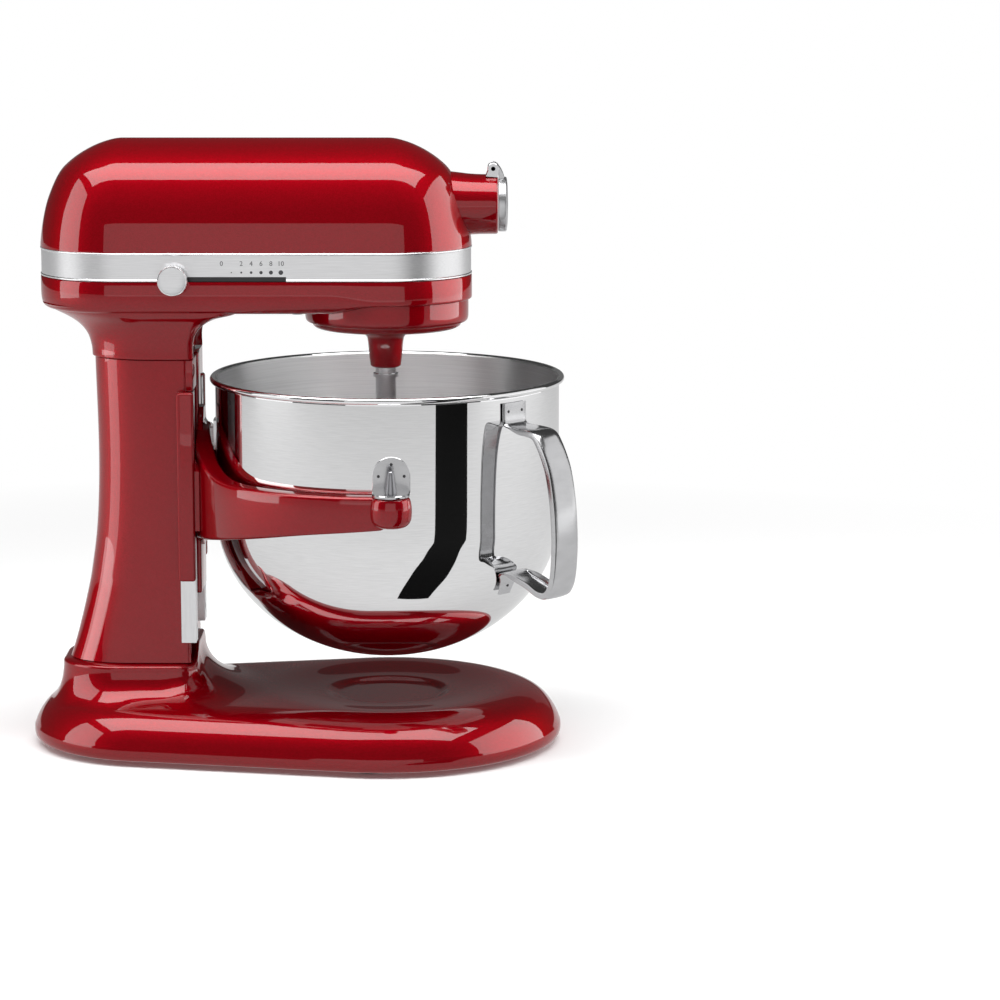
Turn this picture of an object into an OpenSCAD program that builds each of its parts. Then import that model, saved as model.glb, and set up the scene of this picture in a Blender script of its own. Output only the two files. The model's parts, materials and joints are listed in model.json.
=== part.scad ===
// Bowl-lift stand mixer: a cast base and column carry a fixed head; a yoke on the column's front
// raises and lowers the bowl. X runs from the back of the base to the front of the head, Z is up,
// and the origin is on the table under the middle of the mixer.

/* [Base] */
// Reach of the base behind the bowl axis
base_reach = 247; // [200:1:300]
// Radius of the base's round front, about the bowl axis
base_front_r = 120; // [95:1:145]
// Radius of the base's round back
base_rear_r = 89; // [74:1:107]
// Height of the base's flat plate
plate_h = 38; // [34:1:46]
// Wall of the castings
wall = 4; // [3:0.5:5]
// Height of the rubber feet
foot_h = 5; // [4:0.5:7]

/* [Column] */
// Height of the seam between base and column
column_z = 62; // [56:1:74]
// Height of the column between its two seams
column_h = 210; // [190:1:252]
// Width of the column
column_w = 84; // [70:0.1:101]
// Depth of the column from front to back
column_d = 70; // [62:1:84]

/* [Head] */
// Half the width of the head
head_r = 57.2; // [56:0.5:68]
// Reach of the head behind the bowl axis
head_reach = 236.4; // [225:1:280]
// Height of the neck, from the column's seam to the underside of the head
neck_h = 28; // [24:1:34]
// Height of the lower shell below the trim band
lower_h = 26.6; // [24:0.5:34]
// Height of the trim band
band_h = 19.3; // [16:0.1:23]
// Height of the upper shell above the trim band
upper_h = 73.1; // [66:0.1:88]

/* [Attachment hub] */
// Outer radius of the hub boss
hub_r = 20.1; // [18:0.1:24]
// Radius of the hub's bore
hub_bore_r = 13; // [11:0.1:14]
// Reach of the hub in front of the bowl axis
hub_reach = 76.2; // [70:0.1:92]
// Radius of the hinged hub cover
cover_r = 18; // [15:0.5:21]

/* [Bowl] */
// Outer radius of the bowl's wall
bowl_r = 118.2; // [98:0.1:142]
// Height of the bowl
bowl_h = 195; // [162:1:205]
// Depth of the bowl's round bottom
bowl_round_h = 98; // [80:1:118]
// Thickness of the bowl's sheet
bowl_wall = 1.2; // [1:0.1:2]
// How far the rolled rim stands out
rim_w = 3.6; // [2:0.1:5]
// Reach of the handle from the bowl axis
handle_reach = 163; // [150:1:196]
// Width of the handle's strap
strap_w = 26; // [20:1:32]
// Thickness of the handle's strap
strap_t = 3; // [2:0.5:4]

/* [Bowl lift] */
// Travel of the bowl lift
lift_travel = 25; // [20:1:30]
// Thickness of the yoke's plate
yoke_t = 4; // [3:0.5:6]
// Depth of the yoke's arms, from front of the pads down
arm_h = 21; // [17:1:26]
// Radius of the yoke's pads
pad_r = 12.2; // [10:0.1:15]
// Radius of the lift lever's shaft
lift_shaft_r = 5; // [4:0.5:6]
// Length of the lift lever
lever_l = 78; // [65:1:94]

/* [Drive] */
// Module of the spur gears
gear_m = 1.5; // [1.25:0.05:1.6]
// Face width of the spur gears
gear_w = 8; // [6:0.5:9]
// Radius of the agitator shaft
agitator_r = 6.35; // [5:0.05:7.5]
// Radius of the planetary shaft
centre_r = 8; // [6.5:0.1:9.6]
// Radius of the motor's shaft
motor_shaft_r = 5; // [4:0.1:6]
// Length of the motor's can
can_l = 105; // [90:1:112]

/* [Speed control] */
// Radius of the speed knob
knob_r = 10; // [8:0.5:12]
// Travel of the speed knob
speed_travel = 66; // [55:1:79]

/* [Hidden] */
$fn = 64;

// Clearances: free gap between faces, running gap on a shaft, clearance of a loose pin
gap = 0.3;
run = 0.03;
loose = 0.4;
eps = 0.05;

// Colours
red = "#a5121c";
steel = "#c9cbcd";
dark = "#2b2b2d";
zinc = "#9a9da1";
bronze = "#a9793f";
satin = "#d5d6d8";

// Heights, from the table up
head_z = column_z + column_h + neck_h;
band_z = head_z + lower_h;
split_z = band_z + band_h / 2;
upper_z = band_z + band_h;
head_top = upper_z + upper_h;
hub_z = head_top - 45.3;
lift_off = 12;
bowl_top = head_z - lift_travel - lift_off - 6;
bowl_z = bowl_top - bowl_h;
round_z = bowl_z + bowl_round_h;
pad_z = bowl_top - 63.3;
latch_z = pad_z + 12;

// Fore-and-aft places, from the bowl axis
rim_r = bowl_r + rim_w;
plate_x = -(rim_r + 4.2);
plate_back = plate_x - yoke_t;
rail_t = 4;
rail_front = plate_back - gap;
column_x = rail_front - rail_t;
column_hw = column_w / 2;
head_rear_x = -(head_reach - head_r);
head_front_x = 1.2;
rear_x = -(base_reach - base_rear_r);
strap_az = -43;
handle_x = (handle_reach + strap_t) * cos(strap_az) + strap_w / 2 * sin(-strap_az);
bowl_x = (base_reach - handle_x) / 2;

// Base
dish_r = 41.3;
dish_z = plate_h - 6;
foot_r = 11;
foot_places = [[base_front_r - 34, 0], [-10, base_front_r - 27], [-10, 27 - base_front_r],
               [rear_x - 40, base_rear_r - 40], [rear_x - 40, 40 - base_rear_r]];
screw_r = 2.8;
column_screw_places = [for (x = [column_x - column_d + 14, column_x - 18], s = [-1, 1])
                       [x, s * (column_hw - 14)]];

// Guide rails and yoke
rail_hw = column_hw + 1.5;
rail_in = column_hw - 12;
rail_z = [column_z + 15, column_z + column_h - 22];
rail_screw_z = [rail_z[0] + 10, (rail_z[0] + rail_z[1]) / 2, rail_z[1] - 10];
bar_in = rail_hw + gap;
bar_out = bar_in + 8;
yoke_z = [pad_z - 86.7, head_z - lift_travel - 2];
bar_z = [pad_z - 72.7, pad_z + 57.3];
arm_in = bowl_r + 3.8;
arm_t = 13;
pad_y = bowl_r + 0.9 + pad_r;
pad_x = 6;
pin_r = 4;

// Bowl lift
lift_x = column_x - 31;
lift_z = pad_z - 43.7;
lever_turn = 120;
crank_l = lift_travel / 2 / sin(lever_turn / 2);
crank_a = 180 + lever_turn / 2;
crank_pin_r = 3;
crank_slack = crank_l - lift_travel / 2 - 0.6;
crank_y = 6;
crank_t = 5;
bush_t = 2;
lever_y = column_hw + 6;
lever_a = 258;

// Drive train
ring_n = 58;
planet_n = 18;
centre_n = 48;
pinion_n = 16;
planet_y = -gear_m * (ring_n - planet_n) / 2;
ring_r = gear_m * ring_n / 2 + 8.5;
skirt_r = ring_r + wall;
skirt_z = head_z - 6;
planetary_z = head_z - 11;
ring_z = head_z + 4;
web_z = ring_z + gear_w + 4;
centre_z = web_z + 8;
bracket_z = centre_z + gear_w + 4;
motor_z = head_z + 52;
wheel_d = gear_m * (centre_n + pinion_n) / 2;
wheel_y = 27;
wheel_x = -sqrt(wheel_d * wheel_d - wheel_y * wheel_y);
wheel_a = atan2(wheel_y, wheel_x);
worm_r = 6.5;
wheel_r = wheel_y - worm_r - gap;
wheel_n = 24;
wheel_shaft_r = 5;
bearing_t = 6;
crown_r = 21;

// Motor
can_r = head_r - 14.2;
can_x = head_rear_x - 20;
can_t = 2.5;
bell_t = 6;
armature_r = can_r - 9.8;
commutator_r = 13;
motor_bearing_r = 11;
cradle_x = [can_x + 20, can_x + can_l - 20];

// Agitator
boss_r = 12;
boss_z = planetary_z - 27;
washer_r = 8.6;
agitator_z = planetary_z - 70;
cross_z = planetary_z - 46;
// The shaft's free end takes the accessories; its journal above is a little thicker
free_l = cross_z - 3.5 - agitator_z;
journal_r = agitator_r + 0.65;

// Speed control
slot_z = band_z + 1.7;
slot_h = 3.4;
knob_x = -141;

// Hub
hinge_x = hub_reach - 3.2;
hinge_z = hub_z + hub_r + 4.6;
hinge_r = 4;
hinge_pin_r = 1.5;
cover_x = hub_reach + 1.3;
cover_t = 4;
lug_y = 5.5;
bush_x = crown_r + 9;
bush_l = 8;
hub_bush_r = hub_bore_r - 1;

// ---- Shared shapes -------------------------------------------------------------------------

// Outline of two round ends joined by straight tangents
function pill(front_x, front_r, back_x, back_r, inset = 0, n = 16) =
  let (t = acos((back_r - front_r) / (front_x - back_x)))
  concat([for (i = [0 : n]) let (a = -t + 2 * t * i / n)
            [front_x + (front_r - inset) * cos(a), (front_r - inset) * sin(a)]],
         [for (i = [0 : n]) let (a = t + (360 - 2 * t) * i / n)
            [back_x + (back_r - inset) * cos(a), (back_r - inset) * sin(a)]]);

// A quarter arc
function arc(x, y, r, a, n = 5) =
  [for (i = [0 : n]) [x + r * cos(a + 90 * i / n), y + r * sin(a + 90 * i / n)]];

// Rectangle from back to front, with its own radius on the back and the front corners
function block(back, front, hw, back_r, front_r) =
  concat(arc(front - front_r, hw - front_r, front_r, 0), arc(back + back_r, hw - back_r, back_r, 90),
         arc(back + back_r, back_r - hw, back_r, 180), arc(front - front_r, front_r - hw, front_r, 270));

function base_outline(inset) = pill(0, base_front_r, rear_x, base_rear_r, inset);
function head_outline(inset) = pill(head_front_x, head_r, head_rear_x, head_r, inset);

// Outer radius of the bowl at height z
function bowl_radius(z) =
  z >= round_z ? bowl_r : bowl_r * sqrt(1 - pow((round_z - z) / bowl_round_h, 2));

// Flank angle of an involute tooth, as half its thickness at radius r
function inv(a) = tan(a) * 180 / PI - a;
function tooth_half(n, m, r, grow) =
  let (rp = m * n / 2, rb = rp * cos(20))
  90 / n + inv(20) - inv(r > rb ? acos(rb / r) : 0) + grow * 180 / PI / rp;
// Outline of a spur gear: four points to a tooth
function gear(n, m, add, ded, grow) =
  let (tip = m * n / 2 + add, root = m * n / 2 - ded)
  [for (i = [0 : n - 1], k = [0 : 3])
    let (r = (k == 0 || k == 3) ? root : tip, s = k < 2 ? -1 : 1,
         a = 360 * i / n + s * tooth_half(n, m, r, grow))
    [r * cos(a), r * sin(a)]];

// A side view, points as [x, z], drawn out to hw on both sides
module side(hw, points) {
  translate([0, hw, 0]) rotate([90, 0, 0]) linear_extrude(2 * hw) polygon(points);
}
module slice(z, points) { translate([0, 0, z]) linear_extrude(eps) polygon(points); }
module slab(z, h, points) { translate([0, 0, z]) linear_extrude(h) polygon(points); }
module rod(z, h, r) { translate([0, 0, z]) cylinder(h = h, r = r); }
module tube(z, h, outer, inner) {
  difference() { rod(z, h, outer); rod(z - 1, h + 2, inner); }
}
// A rod along X or Y, from a given end
module rod_x(x, l, r) { translate([x, 0, 0]) rotate([0, 90, 0]) cylinder(h = l, r = r); }
module rod_y(y, l, r) { translate([0, y, 0]) rotate([-90, 0, 0]) cylinder(h = l, r = r); }
// Stands a child on the bowl axis
module on_axis() { translate([bowl_x, 0, 0]) children(); }
module both_sides() { for (s = [-1, 1]) scale([1, s, 1]) children(); }

// ---- Base ----------------------------------------------------------------------------------

// The plate and pedestal; w is how far inside the skin the form lies
module plate_form(w) {
  hull() {
    slice(foot_h - w / wall, base_outline(w + 4));
    slice(9.5, base_outline(w));
    slice(18, base_outline(w + 3.5));
    slice(27, base_outline(w + 8.5));
    slice(33 - w / 2, base_outline(w + 14.5));
    slice(plate_h - w - eps, base_outline(w + 34));
  }
}
module pedestal_form(w) {
  back = column_x - column_d;
  waist = block(back - 26 + w, column_x + 12 - w, column_hw + 13 - w, 34, 24);
  hull() {
    slice(28 - w, block(back - 34 + w, column_x + 30 - w, column_hw + 24 - w, 40, 40));
    slice(44 - w, waist);
  }
  hull() {
    slice(44 - w, waist);
    slice(column_z - w - eps, block(back - 21 + w, column_x + 4 - w, column_hw + 5 - w, 25, 14));
  }
}
module base() {
  on_axis() color(red) difference() {
    union() { plate_form(0); pedestal_form(0); }
    difference() {
      union() { plate_form(wall); pedestal_form(wall); }
      rod(dish_z - wall, plate_h, dish_r + wall);
      for (p = foot_places) translate(p) rod(0, plate_h, foot_r + 2);
    }
    rod(dish_z, plate_h, dish_r);
    for (p = foot_places) translate(p) { rod(-1, foot_h + 1, foot_r + 3); rod(foot_h - 1, 11, 4); }
    for (p = column_screw_places) translate(p) rod(column_z - 10, 12, screw_r);
    translate([lift_x, 0, 0]) rod(column_z - 10, 12, 12);
  }
}
module feet() {
  on_axis() color(dark) for (p = foot_places) translate(p) {
    rod(0, foot_h, foot_r);
    rod(foot_h, 9, 4);
  }
}
module column_screws() {
  on_axis() color(zinc) for (p = column_screw_places) translate(p) {
    rod(column_z - wall - 4, 4, 5);
    rod(column_z - wall, wall + 18, screw_r);
  }
}

// ---- Column --------------------------------------------------------------------------------

// Height above the bottom seam, and how far the back stands out there
column_back = [[0, 17], [9, 14], [25, 10], [42, 7], [59, 4], [93, 1.5], [140, 0]];
module column_form(w) {
  top = column_z + column_h - w;
  intersection() {
    side(column_hw, concat(
      [for (p = column_back) [column_x - column_d - p[1] + w, column_z + (p[0] == 0 ? w : p[0])]],
      [[column_x - column_d - 1 + w, top], [column_x - w, top], [column_x - w, column_z + w]]));
    slab(column_z, column_h, block(column_x - column_d - 17 + w, column_x - w, column_hw - w, 24, 3));
  }
}
module column() {
  on_axis() color(red) difference() {
    column_form(0);
    difference() {
      column_form(wall);
      for (p = column_screw_places) translate(p) rod(column_z, 22, screw_r + 4);
      translate([lift_x, 0, lift_z]) rod_y(crank_y + crank_t + 1, column_hw, lift_shaft_r + bush_t + 3);
    }
    for (p = column_screw_places) translate(p) rod(column_z - 1, wall + 15, screw_r);
    for (z = [column_z - 1, column_z + column_h - wall - 1]) translate([lift_x, 0, 0]) rod(z, wall + 2, 12);
    translate([lift_x, 0, lift_z]) rod_y(crank_y, column_hw, lift_shaft_r + bush_t);
    translate([column_x - wall - 2, -5.5, lift_z - 22]) cube([wall + 4, 11, 46]);
    for (z = rail_screw_z, s = [-1, 1]) translate([0, s * (rail_in + 5), z]) rod_x(column_x - wall - 1, wall + 2, 2);
    translate([column_x - column_d + 14, 0, column_z + 28]) rod_y(column_hw - wall - 1, wall + 2, 6);
  }
}
module guide_rails() {
  on_axis() color(steel) both_sides() difference() {
    translate([0, 0, rail_z[0]]) linear_extrude(rail_z[1] - rail_z[0]) polygon([
      [rail_front, rail_in], [rail_front, rail_hw], [column_x - 6, rail_hw],
      [column_x - 6, column_hw], [column_x, column_hw], [column_x, rail_in]]);
    for (z = rail_screw_z) translate([0, rail_in + 5, z]) rod_x(column_x - 1, rail_t + 2, 2);
  }
}
module rail_screws() {
  on_axis() color(zinc) both_sides() for (z = rail_screw_z)
    translate([0, rail_in + 5, z]) rod_x(column_x - wall, wall + rail_t - 0.2, 2);
}
module cord_bush() {
  on_axis() color(dark) translate([column_x - column_d + 14, 0, column_z + 28]) difference() {
    union() { rod_y(column_hw - wall - 2, wall + 2, 6); rod_y(column_hw, 2, 8.5); }
    rod_y(column_hw - wall - 3, wall + 8, 3.6);
  }
}

// ---- Head ----------------------------------------------------------------------------------

module lower_form(w) {
  hull() {
    slice(head_z + w, head_outline(w + 9));
    slice(head_z + w / 2 + 3, head_outline(w + 3));
    slab(head_z + 13, lower_h - 13, head_outline(w));
  }
  neck_form(w);
}
// The neck flares from the column's outline into the underside of the head
module neck_form(w) {
  back = column_x - column_d;
  low = head_z - neck_h + w;
  wide = column_hw + 8 - w;
  intersection() {
    side(head_r, [
      [back - 1 + w, low], [back - 2 + w, head_z - 20], [back - 5 + w, head_z - 11], [back - 13 + w, head_z - 3],
      [6 - head_reach + w, head_z + 6], [column_x + 33 - w, head_z + 6], [column_x + 33 - w, head_z + w],
      [column_x + 13 - w, head_z - 3 + w], [column_x + 7 - w, head_z - 10],
      [column_x + 4 - w, head_z - lift_off - 5], [column_x + 4 - w, low]]);
    translate([-head_reach, 0, 0]) rotate([90, 0, 90]) linear_extrude(head_reach) polygon([
      [wide, head_z + 6], [column_hw + 2 - w, head_z - 11], [column_hw - w, low],
      [w - column_hw, low], [w - column_hw - 2, head_z - 11], [-wide, head_z + 6]]);
    slab(head_z - neck_h, neck_h + 6, block(6 - head_reach + w, column_x + 33 - w, wide, 24, 12));
  }
}
module head_lower() {
  on_axis() color(red) difference() {
    union() {
      lower_form(0);
      slab(band_z, split_z - band_z, head_outline(1.8));
      rod(skirt_z, ring_z + gear_w - skirt_z, skirt_r);
    }
    difference() {
      union() {
        lower_form(wall);
        slab(band_z - 1, band_h, head_outline(wall + 1));
      }
      rod(head_z - 1, web_z - head_z + 1, skirt_r);
      translate([0, 0, web_z]) linear_extrude(4) intersection() {
        polygon(head_outline(wall - 1));
        translate([wheel_x - 22, -head_r]) square([head_r * 3, head_r * 2]);
      }
      rod(web_z, bearing_t + 1, centre_r + 10);
      translate([wheel_x, wheel_y, 0]) rod(web_z, bearing_t - 1, wheel_shaft_r + 4);
      for (x = cradle_x) translate([x - 3, 0, head_z]) {
        translate([0, -head_r, 0]) cube([6, 2 * head_r, 7]);
        translate([0, -can_r * 0.8, 0]) cube([6, can_r * 1.6, motor_z - head_z]);
      }
      for (p = case_screw_places) translate(p) rod(head_z, split_z - head_z, 4.2);
      for (x = board_post_x) translate([x, 0, board_z + 4]) rod_y(-head_r + 1, head_r - board_y - 1, 3);
    }
    rod(skirt_z - 1, web_z - skirt_z + 1, ring_r);
    rod(web_z - 1, bearing_t + 4, centre_r + 6);
    translate([wheel_x, wheel_y, 0]) rod(web_z - 1, bearing_t + 2, wheel_shaft_r + run);
    translate([can_x - 10, 0, motor_z]) rod_x(0, can_l + 20, can_r);
    for (p = case_screw_places) translate(p) rod(head_z - 1, split_z - head_z + 2, 2);
    for (p = case_screw_places) translate(p) rod(head_z - 1, 8, 3.5);
    translate([lift_x, 0, 0]) rod(head_z - neck_h - 1, wall + 2, 12);
    translate([column_x - 0.2, -column_hw + 5, head_z - neck_h - 1])
      cube([wall + 10 + yoke_t, column_w - 10, neck_h - 1 + 0.5]);
    speed_slot();
  }
}
case_screw_places = [for (x = [can_x + 34, wheel_x - 19], s = [-1, 1]) [x, s * (head_r - 9.2)]];
board_y = head_r - 10.2;
board_z = head_z + 8;
board_x = knob_x - 9;
board_l = speed_travel + 20;
board_post_x = [board_x + 8, board_x + board_l - 8];
module speed_slot() {
  translate([knob_x - 2, -head_r - 2, slot_z - slot_h / 2]) cube([speed_travel + 4, 10, slot_h]);
}
module trim_band() {
  on_axis() color(satin) difference() {
    slab(band_z, band_h, head_outline(0));
    slab(band_z - 1, band_h + 2, head_outline(1.8));
    speed_slot();
  }
}
module upper_form(w) {
  hull() {
    slice(upper_z, head_outline(w));
    slice(upper_z + 17, head_outline(w + 2.4));
    slice(upper_z + 33, head_outline(w + 6.5));
    slice(upper_z + 50, head_outline(w + 13.4));
    slice(head_top - 15 - w / 2, head_outline(w + 21.4));
    slice(head_top - 7 - w * 0.8, head_outline(w + 31));
    slice(head_top - 2 - w, head_outline(w + 41));
    slice(head_top - w - eps, head_outline(w + 50));
  }
}
module head_upper() {
  on_axis() color(red) difference() {
    union() {
      upper_form(0);
      slab(split_z, upper_z - split_z, head_outline(1.8));
      translate([0, 0, hub_z]) rod_x(bush_x, hub_reach - bush_x, hub_r);
      both_sides() hub_lug();
    }
    difference() {
      union() { upper_form(wall); slab(split_z - 1, band_h, head_outline(wall + 1)); }
      translate([0, 0, hub_z]) rod_x(bush_x, hub_reach - bush_x, hub_r);
      for (p = case_screw_places) translate(p) rod(split_z, 22, 4.2);
    }
    translate([0, 0, hub_z]) rod_x(bush_x - 1, bush_l + 2, hub_bush_r);
    translate([0, 0, hub_z]) rod_x(bush_x + bush_l, hub_reach, hub_bore_r);
    translate([hinge_x, 0, hinge_z]) rod_y(-lug_y - 6, 2 * lug_y + 12, hinge_pin_r);
    translate([hub_reach - 12, 0, hub_z]) rod_y(hub_bore_r - 1, 16, 3 + run);
    for (p = case_screw_places) translate(p) rod(split_z - 1, 16, 2);
  }
}
// One of the two lugs that hold the hub cover's hinge pin
module hub_lug() {
  difference() {
    translate([0, lug_y, 0]) {
      translate([hinge_x, 0, hinge_z]) rod_y(0, 3, hinge_r);
      translate([hinge_x - hinge_r, 0, hub_z]) cube([2 * hinge_r, 3, hinge_z - hub_z]);
    }
    translate([0, 0, hub_z]) rod_x(hinge_x - 20, 40, hub_bore_r + 2);
  }
}
module case_screws() {
  on_axis() color(zinc) for (p = case_screw_places) translate(p) {
    rod(head_z + 4, 3, 3.5);
    rod(head_z + 7, split_z - head_z + 6, 2);
  }
}
module hub_hinge_pin() {
  on_axis() color(steel) translate([hinge_x, 0, hinge_z]) rod_y(-lug_y - 3, 2 * lug_y + 6, hinge_pin_r);
}
module hub_bush() {
  on_axis() color(bronze) translate([0, 0, hub_z]) difference() {
    rod_x(bush_x, bush_l, hub_bush_r);
    rod_x(bush_x - 1, bush_l + 2, centre_r + run);
  }
}
module control_board() {
  on_axis() color("#1f5a37") translate([board_x, -board_y, board_z]) cube([board_l, 1.6, 28]);
}

// ---- Gear train ----------------------------------------------------------------------------

module ring_gear() {
  on_axis() color(zinc) difference() {
    rod(ring_z, gear_w, ring_r);
    rotate(-90) slab(ring_z - 1, gear_w + 2, gear(ring_n, gear_m, gear_m * 1.2, gear_m * 0.9, 0.1));
  }
}
module centre_bearings() {
  on_axis() color(steel) {
    tube(web_z, bearing_t, centre_r + 6, centre_r + run);
    tube(bracket_z - 1, bearing_t, centre_r + 5, centre_r + run);
  }
}
bracket_feet = [[wheel_x - 16, 0], [0.55 * skirt_r, -0.58 * skirt_r], [0.55 * skirt_r, 0.58 * skirt_r]];
module wheel_bracket() {
  on_axis() color(zinc) difference() {
    union() {
      rod(bracket_z - 1, bearing_t, centre_r + 9);
      translate([wheel_x, wheel_y, 0]) rod(bracket_z, 5, wheel_shaft_r + 4);
      for (p = bracket_feet) translate(p) rod(web_z + 4, bracket_z - web_z, 5);
      for (p = bracket_feet) rotate(atan2(p[1], p[0]))
        translate([centre_r + 7, -4, bracket_z + 0.5]) cube([norm(p) - centre_r - 10, 8, 3]);
      rotate(wheel_a) translate([centre_r + 7, -4, bracket_z + 0.5]) cube([wheel_d - centre_r - 14, 8, 3]);
    }
    rod(bracket_z - 2, bearing_t + 2, centre_r + 5);
    translate([wheel_x, wheel_y, 0]) rod(bracket_z - 1, 7, wheel_shaft_r + run);
    for (p = bracket_feet) translate(p) rod(web_z + 3, bracket_z - web_z + 2, 1.8);
  }
}
module bracket_screws() {
  on_axis() color(steel) for (p = bracket_feet) translate(p) {
    rod(web_z + 4, bracket_z - web_z, 1.8);
    rod(bracket_z + 4, 2.5, 3.6);
  }
}
module planetary() {
  on_axis() color(red) difference() {
    union() {
      rod(planetary_z + 4, ring_z - planetary_z - 4.8, ring_r - gap - 0.3);
      translate([0, 0, planetary_z]) cylinder(h = 4, r1 = ring_r - 4.5, r2 = ring_r - gap - 0.3);
      translate([0, planet_y, boss_z]) cylinder(h = planetary_z - boss_z, r1 = boss_r - 1.5, r2 = boss_r);
    }
    rod(planetary_z + 4, 30, centre_r);
    translate([0, planet_y, 0]) rod(boss_z - 1, 50, journal_r + run);
  }
}
module centre_shaft() {
  on_axis() color(steel) rod(planetary_z + 4, motor_z - planetary_z - 3, centre_r);
}
module centre_gear() {
  on_axis() color(zinc) difference() {
    rotate(wheel_a) slab(centre_z, gear_w, gear(centre_n, gear_m, gear_m * 0.9, gear_m * 1.2, -0.1));
    rod(centre_z - 1, gear_w + 2, centre_r);
  }
}
module crown_gear() {
  on_axis() color(zinc) difference() {
    union() {
      rod(bracket_z + bearing_t, hub_z - crown_r - bracket_z - bearing_t, 12);
      translate([0, 0, hub_z - crown_r]) cylinder(h = 7, r1 = crown_r - 0.6, r2 = crown_r - 7.6);
    }
    rod(bracket_z, 60, centre_r);
    bevel_notches();
  }
}
module bevel_notches() {
  for (i = [0 : 15]) translate([0, 0, hub_z - crown_r]) rotate(22.5 * i + 11.25)
    translate([crown_r + 2.6, 0, -1]) rotate([0, -45, 0]) translate([-5, -1.4, 0]) cube([5, 2.8, 14]);
}
module hub_gear() {
  on_axis() color(zinc) translate([0, 0, hub_z]) rotate([0, 90, 0]) difference() {
    union() {
      translate([0, 0, crown_r - 7]) cylinder(h = 7, r1 = crown_r - 7.6, r2 = crown_r - 0.6);
      rod(crown_r, 8.5, 12);
    }
    rod(0, 60, centre_r);
  }
}
module hub_drive_shaft() {
  on_axis() color(steel) translate([0, 0, hub_z]) difference() {
    rod_x(crown_r - 7, bush_x + bush_l - crown_r + 7, centre_r);
    translate([crown_r + 5, -4, -4]) cube([20, 8, 8]);
  }
}
module agitator_shaft() {
  on_axis() color(steel) translate([0, planet_y, 0]) difference() {
    union() {
      rod(agitator_z, free_l + eps, agitator_r);
      rod(agitator_z + free_l, ring_z + gear_w - agitator_z - free_l, journal_r);
    }
    translate([0, 0, cross_z]) rod_y(-20, 40, 2.4);
  }
}
module planet_pinion() {
  on_axis() color(zinc) translate([0, planet_y, 0]) difference() {
    rotate(-90) slab(ring_z, gear_w - 0.5, gear(planet_n, gear_m, gear_m * 0.9, gear_m * 1.1, -0.1));
    rod(ring_z - 1, gear_w + 2, journal_r);
  }
}
module cross_pin() {
  on_axis() color(steel) translate([0, planet_y, cross_z]) rod_y(-agitator_r - 3.6, 2 * agitator_r + 7.2, 2.4);
}
module shaft_washer() {
  on_axis() color(steel) translate([0, planet_y, 0]) tube(boss_z - 2.5, 2.2, washer_r, journal_r);
}
module worm_wheel() {
  on_axis() color(bronze) translate([wheel_x, wheel_y, 0]) difference() {
    slab(motor_z - 5, 10, gear(wheel_n, 2 * (wheel_r - 1) / wheel_n, 1, 2, -0.1));
    rod(motor_z - 6, 12, wheel_shaft_r);
  }
}
module wheel_shaft() {
  on_axis() color(steel) translate([wheel_x, wheel_y, 0]) rod(web_z, motor_z + 8 - web_z, wheel_shaft_r);
}
module wheel_pinion() {
  on_axis() color(steel) translate([wheel_x, wheel_y, 0]) difference() {
    rotate(wheel_a + 180 + 180 / pinion_n)
      slab(centre_z, gear_w, gear(pinion_n, gear_m, gear_m * 0.9, gear_m * 1.1, -0.1));
    rod(centre_z - 1, gear_w + 2, wheel_shaft_r);
  }
}

// ---- Motor ---------------------------------------------------------------------------------

module motor_can() {
  on_axis() color(zinc) translate([can_x, 0, motor_z]) difference() {
    rod_x(0, can_l, can_r);
    rod_x(-1, can_l - can_t + 1, can_r - can_t);
    rod_x(0, can_l + 2, motor_bearing_r);
  }
}
module motor_magnets() {
  on_axis() color(dark) translate([can_x + 28, 0, motor_z]) rotate([0, 90, 0]) for (i = [0 : 3])
    rotate(90 * i + 10) rotate_extrude(angle = 70) translate([armature_r + 0.8, 0])
      square([can_r - can_t - armature_r - 0.8, 54]);
}
module motor_end_bell() {
  on_axis() color(zinc) translate([can_x, 0, motor_z]) difference() {
    rod_x(-bell_t, bell_t, can_r - 1);
    rod_x(-bell_t - 1, bell_t + 2, motor_bearing_r);
  }
}
module motor_bearings() {
  on_axis() color(steel) translate([can_x, 0, motor_z]) for (x = [-bell_t, can_l - bell_t]) difference() {
    rod_x(x, bell_t, motor_bearing_r);
    rod_x(x - 1, bell_t + 2, motor_shaft_r + run);
  }
}
module brush_holders() {
  on_axis() color(bronze) translate([can_x, 0, motor_z]) for (s = [-1, 1]) scale([1, s, 1]) difference() {
    translate([0, commutator_r + 4, -5]) cube([16, 12, 10]);
    translate([3, commutator_r + 3, -3]) cube([9, 14, 6]);
  }
}
module brushes() {
  on_axis() color(dark) translate([can_x, 0, motor_z]) for (s = [-1, 1]) scale([1, s, 1])
    translate([3, commutator_r + gap, -3]) cube([9, 14, 6]);
}
module motor_shaft() {
  worm_x = wheel_x - 13;
  on_axis() color(steel) translate([0, 0, motor_z]) {
    rod_x(can_x - bell_t - 2, worm_x - can_x + bell_t + 30, motor_shaft_r);
    for (i = [0 : 6]) translate([worm_x + 3.9 * i, 0, 0]) rotate([0, 90, 0]) cylinder(h = 2, r1 = worm_r, r2 = worm_r - 1);
  }
}
module armature() {
  on_axis() color("#6d4a2c") translate([can_x + 30, 0, motor_z]) difference() {
    rod_x(0, 50, armature_r);
    rod_x(-1, 52, motor_shaft_r);
    for (i = [0 : 11]) rotate([30 * i, 0, 0]) translate([-1, -1.5, armature_r - 9]) cube([52, 3, 12]);
  }
}
module commutator() {
  on_axis() color(bronze) translate([can_x + 2, 0, motor_z]) difference() {
    rod_x(0, 14, commutator_r);
    rod_x(-1, 16, motor_shaft_r);
  }
}
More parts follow.
